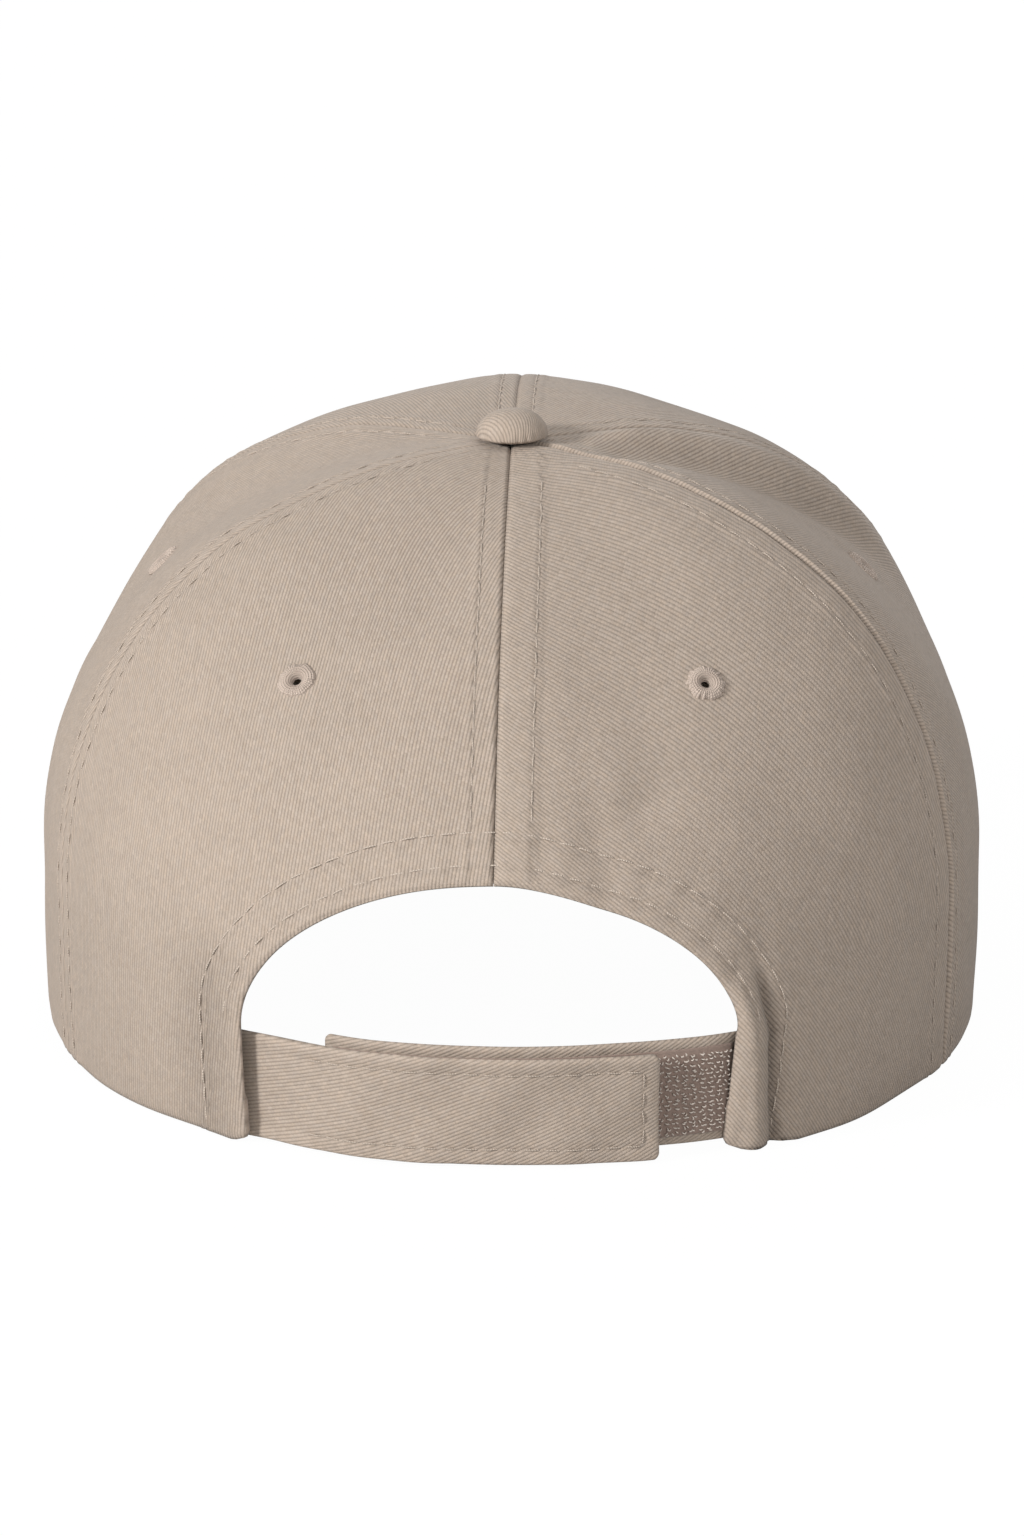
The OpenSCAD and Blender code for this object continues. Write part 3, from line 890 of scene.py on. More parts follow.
def stitch_geometry(points, normals, pitch=STITCH_PITCH, radius=THREAD_RADIUS, seed=1):
    """Capsules of thread that dip into the cloth at both ends, along a line on it."""
    centre, forward, normal, step = resample(points, normals, pitch)
    side = unit(np.cross(forward, normal))
    rng = np.random.default_rng(seed)
    turn = rng.normal(0, 0.045, len(centre))[:, None]
    forward = unit(forward + side * turn)
    side = unit(np.cross(forward, normal))
    rings = []
    weave = []
    for along, swell, lift in CAPSULE:
        ring_centre = centre + forward * (along * step * STITCH_SHARE) + normal * lift
        for k in range(THREAD_SIDES):
            a = k * 2 * math.pi / THREAD_SIDES
            rings.append(ring_centre + radius * swell * (math.cos(a) * side
                                                         + math.sin(a) * normal))
            weave.append((along * step * STITCH_SHARE, a / (2 * math.pi) * 0.5, 0))
    quads = copies_of(tube_quads(len(CAPSULE), THREAD_SIDES), len(rings), len(centre))
    points = np.stack(rings, 1).reshape(-1, 3)
    return points, quads, np.tile(np.array(weave), (len(centre), 1))


def sew(name, lines, body="crown", radius=THREAD_RADIUS, pitch=STITCH_PITCH, material="thread"):
    """One piece of stitching from several lines of (points, normals)."""
    points, quads, weave, start = [], [], [], 0
    for k, (line, normals) in enumerate(lines):
        p, q, v = stitch_geometry(line, normals, pitch, radius, seed=11 + k)
        points.append(p)
        quads.append(q + start)
        weave.append(v)
        start += len(p)
    made = new_mesh(name, np.concatenate(points), np.concatenate(quads),
                    {"weave": np.concatenate(weave)})
    return finish_piece(made, material, body)


# ---- Crown panels ----

HOLE_DEPTH = 0.26
HEM_HEIGHT = 0.30
HEM_WIDTH = 9.0
HEM_ROW_END_W = 1.97
RIM_ON_VISOR = 1.0
EYELET_PLACES = {"front": (30.5, 0.56), "side": (86.5, 0.56), "back": (144.3, 0.532)}
EYELET_RADIUS = 3.6
EYELET_HOLE = 0.8
EYELET_CUT = 1.9
EYELET_THREADS = 40
HEM_ROWS = (3.3, 8.6)
PANELS = {
    # name: u from, u to, rib angle where the ribs are straight, seam styles (from, to)
    "panel_front_left": (0, FRONT_SIDE_SEAM, 82, "plain", "plain"),
    "panel_front_right": (360 - FRONT_SIDE_SEAM, 360, 82, "plain", "plain"),
    "panel_side_left": (FRONT_SIDE_SEAM, SIDE_BACK_SEAM, 80, "plain", "flat"),
    "panel_side_right": (360 - SIDE_BACK_SEAM, 360 - FRONT_SIDE_SEAM, -42, "cord", "plain"),
    "panel_back_left": (SIDE_BACK_SEAM, 180, None, "flat", "back_left"),
    "panel_back_right": (180, 360 - SIDE_BACK_SEAM, None, "back_right", "under_cord"),
}
# groove depth and width, allowance height and width, the stitch row's distance and the painted
# shade in its needle holes
SEAM_STYLES = {
    "plain": (0.30, 0.45, 0.14, 5.0, 3.4, 0.06),
    "flat": (0.22, 0.40, 0.16, 5.0, 3.4, 0.06),
    "cord": (0.50, 0.40, 0.20, 5.6, 4.0, 0.10),
    "under_cord": (0.45, 0.55, 0.20, 7.6, 6.4, 0.12),
    "back_left": (0.55, 0.45, 0.20, 5.6, 4.5, 0.26),
    "back_right": (0.40, 0.45, 0.30, 7.6, 6.8, 0.26),
}


def needle_holes(distance, along, row, strength):
    """Small dents along a stitch row."""
    beat = 0.5 + 0.5 * np.cos(2 * np.pi * along / STITCH_PITCH)
    return strength * bell(distance, row, 0.42) * (0.35 + 0.65 * beat)


def seam_relief(distance, w, seam_u, style):
    """Relief and shade of the cloth beside a seam, by the distance from it."""
    along = meridian_length(w, seam_u)
    depth, width, height, reach, row, row_shade = SEAM_STYLES[style]
    out = -depth * bell(distance, 0, width)
    out = out + height * below(distance, reach - 0.5, reach + 0.9)
    out = out - needle_holes(distance, along, row, HOLE_DEPTH)
    pucker = np.sin(2 * np.pi * along / 9.1 + 2 * np.sin(along / 23)) * 0.07
    out = out + pucker * smoothstep(0, 2, distance) * below(distance, row, row + 9)
    # painted shade in the seam's groove and in the needle holes, and a lighter line beside the
    # groove
    shade = -0.5 * depth * bell(distance, 0, width * 0.7)
    shade = shade - needle_holes(distance, along, row, row_shade)
    shade = shade + 0.05 * bell(distance, width + 0.7, 0.8)
    if style == "cord":
        keep = smoothstep(2, 12, meridian_length(2.0, seam_u) - along)
        out = out + 0.36 * bell(distance, 0.8, 0.42) * keep
        # painted shade in the hollow beside the cord; its crest is drawn lighter
        shade = shade + 0.07 * bell(distance, 0.8, 0.35) - 0.08 * bell(distance, 1.7, 0.4)
    return out, shade


def panel_grid(name):
    """Grid of u and w over one panel, dense near its seams and the rear opening."""
    u_from, u_to = PANELS[name][:2]
    gap = 0.03
    count = 121
    if "back" in name:
        left = "left" in name
        x, z = arch_point(np.linspace(90, 0 if left else 180, 62))
        foot = np.linspace(ARCH_SIDE_HEIGHT, 0, 27)[1:]
        x = np.concatenate([x, side_x(foot, 1 if left else -1)])
        z = np.concatenate([z, foot])
        edge_u = back_u(x, z)
        edge_w = w_at(edge_u, z)
        t = np.linspace(0, 1, 90)[:-1]
        upper = APEX_W + (edge_w[0] - APEX_W) * (1.5 * t - 0.5 * t * t)
        w = np.concatenate([upper, edge_w])
        seam = np.concatenate([np.full(upper.shape, 180.0), edge_u])
        start = np.full(w.shape, u_from + gap) if left else seam + gap
        end = seam - gap if left else np.full(w.shape, u_to - gap)
    else:
        w = np.concatenate([np.linspace(APEX_W, 1, 126)[:-1], np.linspace(1, 2, 32)])
        start = np.full(w.shape, u_from + gap)
        end = np.full(w.shape, u_to - gap)
    # the column places follow each row's length, in millimetres
    rough = crown_point(start[:, None] + (end - start)[:, None] * np.linspace(0, 1, 24), w[:, None])
    length = row_lengths(rough)[:, -1]
    share = np.stack([dense_ends(each, count, 0.27) / each for each in length])
    u = start[:, None] + (end - start)[:, None] * share
    return u, np.repeat(w[:, None], count, 1)


ARCH_LINE = crown_point(*arch_path())


def arch_distance(p):
    """Distance from the rear opening's edge, and the distance along that edge."""
    flat = p.reshape(-1, 3)
    best = np.full(len(flat), 1e9)
    where = np.zeros(len(flat))
    along = path_lengths(ARCH_LINE)
    for k in range(len(ARCH_LINE) - 1):
        a, b = ARCH_LINE[k], ARCH_LINE[k + 1]
        t = np.clip((flat - a) @ (b - a) / ((b - a) @ (b - a)), 0, 1)
        d = np.linalg.norm(flat - a - t[:, None] * (b - a), axis=1)
        closer = d < best
        best = np.where(closer, d, best)
        where = np.where(closer, along[k] + t * (along[k + 1] - along[k]), where)
    return best.reshape(p.shape[:-1]), where.reshape(p.shape[:-1])


def hem_relief(distance, along, z):
    """Folded hem round the rear opening, with its two rows of stitching."""
    out = HEM_HEIGHT * below(distance, HEM_WIDTH, HEM_WIDTH + 1.2)
    out = out - 0.55 * bell(distance, 0, 0.6)
    # lighter along the folded edge; painted shade in the needle holes of both rows
    shade = 0.06 * bell(distance, 0.8, 0.7)
    for row in HEM_ROWS:
        keep = smoothstep(16, 24, z) if row == HEM_ROWS[0] else 1.0
        out = out - needle_holes(distance, along, row, HOLE_DEPTH) * keep
        shade = shade - needle_holes(distance, along, row, 0.09) * keep
    wave = np.sin(2 * np.pi * along / 7.3 + 1.5 * np.sin(along / 17)) * 0.09
    out = out + wave * below(distance, HEM_WIDTH, 16) * smoothstep(0.5, 2, distance)
    return out, shade


def eyelet_cut(name, base):
    """The cells of a panel's grid that lie inside its eyelet's ring."""
    kind = name.split("_")[1]
    side = 1 if "left" in name else -1
    u, w = EYELET_PLACES[kind]
    centre = crown_point(u * side, w)
    middle = (base[:-1, :-1] + base[1:, 1:] + base[:-1, 1:] + base[1:, :-1]) / 4
    return np.linalg.norm(middle - centre, axis=-1) < EYELET_CUT


def panel_weave(name, u, w):
    """Cloth coordinates of a panel. The two back panels' ribs bend with the cut of the cloth."""
    rib_angle = PANELS[name][2]
    if "back" not in name:
        centre = sum(PANELS[name][:2]) / 2
        return weave_vector(*cloth_place(u, w, centre, centre), rib_angle)
    across, up = cloth_place(u, w, 180.0, 145.0)
    down = -up
    if "left" in name:
        lean = 0.10 * down - 13.75 * np.exp(-(down - 25) / 25)
        return np.stack([across + lean, up, np.zeros_like(up)], -1)
    shear = 0.605 + 0.00342 * down
    return np.stack([(up + across * shear) / 1.25, (across - up * 0.9) / 1.3,
                     np.zeros_like(up)], -1)


def make_panel(name):
    """One of the six crown panels, with its seams, hem, stitch holes, wear and painted shade."""
    u_from, u_to, _, style_from, style_to = PANELS[name]
    u, w = panel_grid(name)
    base = crown_point(u, w)
    normal = crown_normal(u, w)
    from_start = row_lengths(base)
    from_end = from_start[:, -1:] - from_start
    out, shade = seam_relief(from_start, w, u_from, style_from)
    out_end, shade_end = seam_relief(from_end, w, u_to, style_to)
    if "back" in name:
        # below the arch's top, one side of each row lies on the opening and not on a seam
        hem_d, hem_s = arch_distance(base)
        above = below(ARCH_SIDE_HEIGHT + ARCH_RISE - base[..., 2], -1.5, 1.5)
        if "left" in name:
            out_end, shade_end = out_end * above, shade_end * above
        else:
            out, shade = out * above, shade * above
        hem, hem_shade = hem_relief(hem_d, hem_s, base[..., 2])
        # painted shade along the crease by the opening's right edge and beside its left edge
        beside = hollow_shade(base) if "left" in name else crease_shade(base)
        out_end, shade_end = out_end + hem, shade_end + hem_shade + beside
    rim = base[..., 2] - rim_z(u)
    lower = w > 1
    small = out + out_end - 0.45 * bell(rim, 0, 0.8) * lower
    wide = soft_relief(u, w)
    # the front edge reaches down on to the visor, and the others are turned in as a hem
    turn = turn_from_front(u)
    drop = RIM_ON_VISOR * below(rim, 0, 6) * lower * below(turn, 58, 66)
    turned = 0.7 * below(rim, 8.5, 10) * lower * (turn > 64)
    base = base - drop[..., None] * UP
    outer = base + normal * (small + wide)[..., None]
    inner = base + normal * (wide - (PANEL_THICKNESS + turned))[..., None]
    weave = panel_weave(name, u, w)
    # seam and hem shade from above, a little lighter along the rim's edge and a little darker
    # towards the rim
    wear_and_shade = shade + shade_end + 0.05 * bell(rim, 0.9, 0.9) * lower
    wear_and_shade = wear_and_shade - 0.03 * below((2 - w) * 34, 0, 60) * lower
    # painted shade in the valley of the fold over the wearer's right side panel
    if name == "panel_side_right":
        across, strength = fold_place(u, w)
        wear_and_shade = wear_and_shade - 0.14 * bell(across, -4.5, 3.0) * strength
    piece = slab(name + "_cloth", outer, inner, {"weave": weave, "wear_and_shade": wear_and_shade},
                 cut=eyelet_cut(name, base))
    return finish_piece(piece, "cap_twill", replaces=[name])


def crown_line(u, w, height, inside=False):
    """Points and normals of a line on one face of the crown's cloth, at a height over it."""
    normal = crown_normal(u, w)
    lift = soft_relief(u, w) + height
    return crown_point(u, w) + normal * lift[:, None], -normal if inside else normal


def seam_line(seam_u, side, style, w_to):
    """The stitch row beside a seam, on the side of larger u for side = 1."""
    w = np.linspace(0.12, w_to, 220)
    nudge = 0.5
    here = crown_point(seam_u, w)
    beside = crown_point(seam_u + side * nudge, w)
    per_degree = np.linalg.norm(beside - here, axis=1) / nudge
    height, row = SEAM_STYLES[style][2], SEAM_STYLES[style][4]
    return crown_line(seam_u + side * row / per_degree, w, height - HOLE_DEPTH * 0.55)


def hem_line(distance, lowest=0.0):
    """Line round the rear opening at a distance from its edge, above a height."""
    u, w = arch_path(distance, 361)
    keep = (crown_point(u, w)[:, 2] > lowest) & (w < HEM_ROW_END_W)
    return crown_line(u[keep], w[keep], HEM_HEIGHT - 0.14)


def sew_crown():
    """Rows of topstitching beside each seam and round the rear opening."""
    peak_w = float(w_at(np.array(180.0), np.array(ARCH_SIDE_HEIGHT + ARCH_RISE + 9.6)))
    lines = []
    for name in (f"panel_{place}_{side}" for side in ("left", "right")
                 for place in ("front", "side", "back")):
        u_from, u_to, _, style_from, style_to = PANELS[name]
        for seam_u, side, style in ((u_from, 1, style_from), (u_to, -1, style_to)):
            lines.append(seam_line(seam_u, side, style, peak_w if seam_u == 180 else 1.95))
    sew("topstitch_seams", lines, material="shaded_thread")
    sew("topstitch_opening", [hem_line(HEM_ROWS[0], 24.5), hem_line(HEM_ROWS[1])])


PANEL_PIECES = {name: make_panel(name) for name in PANELS}
sew_crown()

# ---- Linings, tapes and sweatband inside the crown ----

LINING_DEPTH = 1.0
BUCKRAM_THICKNESS = 0.7
TAPE_MITRE = math.radians(28)
TAPE_HALF_WIDTH = 6.0
TAPE_ROW = 3.6
TAPE_DEPTH_FRONT = 1.95
TAPE_DEPTH_BACK = 1.05
TAPE_THICKNESS = 0.5
BINDING_WIDTH = 9.0
FOAM_DEPTH = 2.85
BAND_DEPTH = 3.9
BAND_THICKNESS = 0.8
BAND_HEIGHT = 32.0
BAND_ROWS = (3.4, 29.4)
INSIDE_THREAD_RADIUS = 0.16
BAND_END = 146.0


def edge_round(distance, radius):
    """Share of the thickness left at a distance from an edge, for a rounded edge."""
    t = np.clip(distance / radius, 0, 1)
    return 0.12 + 0.88 * np.sqrt(1 - (1 - t) ** 2)


def crown_layer(name, u, w, depth, thickness, rib_angle, relief=0.0, wear_and_shade=0.0):
    """A layer of the crown between two depths, with rounded edges."""
    base = crown_point(u, w)
    normal = crown_normal(u, w)
    across, down = row_lengths(base), column_lengths(base)
    edge = np.minimum(np.minimum(across, across[:, -1:] - across),
                      np.minimum(down, down[-1:] - down))
    full = edge_round(edge, thickness * 0.8) * thickness / 2
    middle = soft_relief(u, w) - depth - thickness / 2
    outer = base + normal * (middle + full)[..., None]
    inner = base + normal * (middle - full - relief)[..., None]
    weave = weave_vector(across - across[:, -1:] / 2, -down, rib_angle)
    return slab(name, outer, inner, {"weave": weave, "wear_and_shade": np.zeros(u.shape) + wear_and_shade})


def make_buckram(side):
    """Stiffening behind a front panel: side is 1 for the wearer's left and -1 for the right."""
    inset = 1.0
    ends = sorted((side * inset, side * (FRONT_SIDE_SEAM - inset)))
    w, u = grid_of(np.linspace(0.1, 1.88, 90), np.linspace(*ends, 70))
    name = "buckram_left" if side > 0 else "buckram_right"
    piece = crown_layer(name + "_net", u, w, LINING_DEPTH, BUCKRAM_THICKNESS, 90)
    return finish_piece(piece, "buckram", replaces=[name])


def tape_u(seam_u, w, offset):
    """The u of a place at an offset in millimetres from a seam, mitred near the button."""
    p = crown_point(seam_u, w)
    r = np.maximum(np.hypot(p[..., 0], p[..., 1]), 0.5)
    limit = math.tan(TAPE_MITRE) * r
    return seam_u + np.degrees(np.clip(offset, -limit, limit) / r)


def make_seam_tape(name, seam_u, w_end):
    """Tape over the inside of a seam, and its two rows of stitches."""
    depth = TAPE_DEPTH_FRONT if turn_from_front(seam_u) < 90 else TAPE_DEPTH_BACK
    w, offset = grid_of(np.linspace(0.035, w_end, 130),
                        dense_ends(2 * TAPE_HALF_WIDTH, 17, 0.3) - TAPE_HALF_WIDTH)
    u = tape_u(seam_u, w, offset)
    down = column_lengths(crown_point(u, w))
    rows = sum(needle_holes(offset, down, side * TAPE_ROW, 0.18) for side in (-1, 1))
    fold = 0.12 * bell(np.abs(offset), 4.9, 0.9)
    # painted shade in the needle holes; the tape's folded edges are drawn lighter
    piece = crown_layer(name + "_strip", u, w, depth, TAPE_THICKNESS, 62,
                        relief=fold - rows, wear_and_shade=-0.6 * rows + 0.4 * fold)
    finish_piece(piece, "seam_tape", replaces=[name])
    w = np.linspace(0.12, w_end - 0.02, 150)
    lines = [crown_line(tape_u(seam_u, w, side * TAPE_ROW), w, -(depth + TAPE_THICKNESS),
                        inside=True) for side in (-1, 1)]
    return piece, lines


def make_tapes():
    """The six tapes over the crown's seams."""
    back_end = float(w_at(np.array(180.0), np.array(ARCH_SIDE_HEIGHT + ARCH_RISE + 0.6)))
    places = {
        "seam_tape_front": (0.0, 1.9),
        "seam_tape_front_left": (FRONT_SIDE_SEAM, 1.9),
        "seam_tape_front_right": (-FRONT_SIDE_SEAM, 1.9),
        "seam_tape_back": (180.0, back_end),
        "seam_tape_back_left": (SIDE_BACK_SEAM, 1.9),
        "seam_tape_back_right": (-SIDE_BACK_SEAM, 1.9),
    }
    pieces, lines = [], []
    for name, (seam_u, w_end) in places.items():
        piece, rows = make_seam_tape(name, seam_u, w_end)
        pieces.append(piece)
        lines += rows
    sew("inside_stitches", lines, radius=INSIDE_THREAD_RADIUS)
    return pieces


def make_binding():
    """Tape that covers the turned edge inside the rear opening's arch."""
    gap = 1.0
    s, grow = grid_of(np.linspace(3, 177, 150), dense_ends(BINDING_WIDTH, 17, 0.3))
    x, z = arch_point(s, grow + gap)
    u = back_u(x, z)
    w = w_at(u, z)
    depth = TAPE_DEPTH_BACK + TAPE_THICKNESS + 0.15
    along = column_lengths(crown_point(u, w))
    rows = sum(needle_holes(grow, along, row - gap, 0.16) for row in HEM_ROWS)
    # painted shade in the needle holes
    piece = crown_layer("opening_binding_strip", u, w, depth, TAPE_THICKNESS, 35, relief=-rows,
                        wear_and_shade=-0.6 * rows)
    return finish_piece(piece, "seam_tape", replaces=["opening_binding"])


def band_grid(u_end, low, high, rows, cols):
    """Grid of u, w and height over the rim, for a band between two heights."""
    height, u = grid_of(dense_ends(high - low, rows, 0.3)[::-1] + low,
                        np.linspace(-u_end, u_end, cols))
    return u, w_at(u, rim_z(u) + height), height


def make_sweatband():
    """Cloth band against the head, padded, with a row of stitches near each long edge."""
    u, w, height = band_grid(BAND_END, 0.8, BAND_HEIGHT, 40, 420)
    along = row_lengths(crown_point(u, w))
    rows = sum(needle_holes(height, along, row, 0.25) for row in BAND_ROWS)
    low_row, high_row = BAND_ROWS
    pillow = 0.45 * smoothstep(low_row, 9, height) * below(height, 22, high_row)
    crumple = 0.12 * np.sin(along / 5.3 + np.sin(height / 4)) * pillow
    # painted shade in the needle holes
    piece = crown_layer("sweatband_cloth", u, w, BAND_DEPTH, BAND_THICKNESS, 20,
                        relief=pillow + crumple - rows, wear_and_shade=-0.5 * rows)
    finish_piece(piece, "sweatband_cloth", replaces=["sweatband"])
    u = np.linspace(-BAND_END + 1, BAND_END - 1, 700)
    lines = [crown_line(u, w_at(u, rim_z(u) + row), -BAND_DEPTH - BAND_THICKNESS, inside=True)
             for row in BAND_ROWS]
    sew("sweatband_stitches", lines, radius=INSIDE_THREAD_RADIUS)
    return piece


def make_foam():
    """Thin pad between the sweatband and the brow of the crown."""
    u, w, _ = band_grid(62, 3, BAND_HEIGHT - 3, 24, 160)
    piece = crown_layer("sweatband_padding", u, w, FOAM_DEPTH, 0.8, 0)
    finish_piece(piece, "foam", replaces=["sweatband_foam"])


BUCKRAM_PIECES = [make_buckram(1), make_buckram(-1)]
TAPE_PIECES = make_tapes()
BINDING_PIECE = make_binding()
SWEATBAND_PIECE = make_sweatband()
make_foam()

# ---- Button and eyelets ----

def make_button():
    """Twill drawn over a dome, gathered under its rim."""
    turns, rings = 144, 44
    lip = 0.7
    foot = CROWN_HEIGHT + BUTTON_FOOT
    t, a = grid_of(np.linspace(0, 1, rings), np.linspace(0, 2 * np.pi, turns, endpoint=False))
    dome = np.pi / 2 * np.minimum(t / 0.72, 1)
    under = np.clip((t - 0.72) / 0.28, 0, 1)
    radius = BUTTON_RADIUS * np.sin(dome) ** 0.92 - 2.1 * under ** 1.3
    z = foot + lip + (BUTTON_TOP - foot - lip) * np.maximum(np.cos(dome), 0) ** 0.95
    z = z - lip * np.sin(np.pi / 2 * under) + 0.15 * np.sin(a - 0.8) * np.sin(np.pi * t)
    pleat = 0.10 * np.cos(17 * a + 2 * np.sin(3 * a)) + 0.05 * np.cos(29 * a + 1.0)
    pleat = 1.6 * np.minimum(pleat * smoothstep(0.45, 0.75, t), 0)
    radius = np.maximum(radius + pleat, 0.02)
    outer = np.stack([radius * np.cos(a), radius * np.sin(a), z], -1)
    centre = foot * UP
    inner = centre + (outer - centre) * np.array([0.92, 0.92, 0.86])
    arc = 16.0 * t
    weave = weave_vector(-arc * np.cos(a), -arc * np.sin(a) + 0.04 * arc ** 2, -50)
    # a little lighter round the dome's shoulder, and painted shade under the gathered rim
    wear_and_shade = 0.04 * bell(t, 0.5, 0.2) - 0.25 * smoothstep(0.74, 0.9, t)
    count = rings * turns
    quads = tube_quads(rings, turns)[:, [0, 3, 2, 1]]
    last = np.arange(count - turns, count)
    after = np.roll(last, -1)
    rim = np.stack([last, last + count, after + count, after], -1)
    k = np.arange(turns // 2 - 1)
    cap = np.stack([k, k + 1, turns - 2 - k, turns - 1 - k], -1)
    all_quads = np.concatenate([quads, quads[:, ::-1] + count, rim, cap, cap[:, ::-1] + count])
    piece = new_mesh("button_twill", np.concatenate([outer, inner]).reshape(-1, 3), all_quads,
                     {"weave": np.concatenate([weave, weave]).reshape(-1, 3),
                      "wear_and_shade": np.concatenate([wear_and_shade, wear_and_shade]).ravel()})
    return finish_piece(piece, "cap_twill", replaces=["button_cover"])


def make_eyelet(kind, side):
    """Satin stitches laid over a ring on both faces and through the hole."""
    u, w = np.array(EYELET_PLACES[kind])
    u = u * side
    layers = LINING_DEPTH + BUCKRAM_THICKNESS if kind == "front" else PANEL_THICKNESS
    turns = EYELET_THREADS * 9
    a = np.linspace(0, 2 * np.pi, turns, endpoint=False)
    profile = np.array([
        (EYELET_RADIUS + 0.15, -0.15), (EYELET_RADIUS - 0.05, 0.22), (EYELET_RADIUS - 0.5, 0.52),
        (2.6, 0.74), (2.0, 0.72), (1.45, 0.48), (1.05, 0.05), (EYELET_HOLE, -0.45),
        (EYELET_HOLE, -layers - 0.1), (1.1, -layers - 0.42), (1.8, -layers - 0.62),
        (2.7, -layers - 0.60), (EYELET_RADIUS - 0.3, -layers - 0.4),
        (EYELET_RADIUS, -layers - 0.05), (2.4, -layers * 0.5 - 0.1)])
    rng = np.random.default_rng(int(31 + u * 3) % 97)
    uneven = rng.normal(0, 0.16, EYELET_THREADS)
    thread = (a / (2 * np.pi) * EYELET_THREADS).astype(int) % EYELET_THREADS
    ridge = np.abs(np.sin(a / 2 * EYELET_THREADS)) ** 0.7
    rows = []
    for k, (r, z) in enumerate(profile):
        outer = 1.0 if k < 3 or k in (12, 13) else 0.0
        lift = 0.20 * (ridge - 0.6) * (1 if 0 < k < 7 or 8 < k < 14 else 0.2)
        radius = r + outer * uneven[thread] + (0.4 * lift if 5 <= k <= 9 else 0)
        height = z + 0 * a + (lift if k < 7 else -lift if k > 8 else 0)
        rows.append(np.stack([radius * np.cos(a), radius * np.sin(a), height], -1))
    local = np.stack(rows)
    normal = crown_normal(u, w)
    origin = crown_point(u, w) + normal * soft_relief(u, w)
    right = unit(np.cross(UP, normal))
    top = np.cross(normal, right)
    points = origin + local[..., :1] * right + local[..., 1:2] * top + local[..., 2:] * normal
    count = len(profile)
    quads = tube_quads(count + 1, turns)[:, [1, 2, 3, 0]] % (count * turns)
    weave = np.zeros(points.shape)
    weave[..., 0] = path_lengths(profile)[:, None]
    name = f"eyelet_{kind}_{'left' if side > 0 else 'right'}"
    piece = new_mesh(name + "_satin", points.reshape(-1, 3), quads,
                     {"weave": weave.reshape(-1, 3)})
    return finish_piece(piece, "eyelet_thread", replaces=[name])


BUTTON_PIECE = make_button()
for eyelet_kind in EYELET_PLACES:
    for eyelet_side in (1, -1):
        make_eyelet(eyelet_kind, eyelet_side)

# ---- Visor ----

VISOR_END = 66.0
VISOR_REACH = 68.0
VISOR_BEND = 140.0
VISOR_SQUARENESS = 0.8
VISOR_FLARE = 8.0
VISOR_CENTRE_HEIGHT = 23.2
VISOR_SEAM_DROP = 2.3
VISOR_SEAM_INSET = 3.0
VISOR_HALF_WIDTH = 84.0
COVER_TOP = 1.74
COVER_THICKNESS = 0.7
VISOR_ROWS = 7
VISOR_FIRST_ROW = 4.0
VISOR_ROW_PITCH = 6.5
VISOR_ROW_PLACES = [VISOR_FIRST_ROW + k * VISOR_ROW_PITCH for k in range(VISOR_ROWS)]


def visor_seam(s):
    """The visor's inner edge, s from -1 to 1, where it is sewn to the crown."""
    u = s * VISOR_END
    p = crown_point(u, 2.0) - VISOR_SEAM_INSET * crown_normal(u, np.full(np.shape(u), 2.0))
    return np.stack([p[..., 0], p[..., 1], rim_z(u) - VISOR_SEAM_DROP], -1)


def visor_edge(s):
    """The visor's outer edge."""
    a = np.pi / 2 * s
    end = crown_point(VISOR_END, 2.0)
    x = VISOR_HALF_WIDTH * signed_pow(np.sin(a), VISOR_SQUARENESS) + VISOR_FLARE * np.sin(2 * a)
    reach = VISOR_REACH + CROWN_LENGTH * (1 - RIM_TUCK) + end[1]
    y = end[1] - reach * np.abs(np.cos(a)) ** VISOR_SQUARENESS
    k = np.abs(np.sin(a)) ** 8
    z = (1 - k) * (VISOR_CENTRE_HEIGHT - x * x / (2 * VISOR_BEND)) + k * (end[2] - VISOR_SEAM_DROP)
    return np.stack([x, y, z], -1)


def visor_point(s, t):
    """Place on the visor, t from 0 at the crown to 1 at the outer edge."""
    t = np.asarray(t)[..., None]
    return visor_seam(s) * (1 - t) + visor_edge(s) * t


def visor_normal(s, t):
    ds, dt = 0.01, 0.02
    return unit(np.cross(visor_point(s + ds, t) - visor_point(s - ds, t),
                         visor_point(s, t - dt) - visor_point(s, t + dt)))


def visor_rows(s, t):
    """Distance from the outer edge, measured along the visor's straight rulings."""
    return np.linalg.norm(visor_point(s, t) - visor_edge(s), axis=-1)


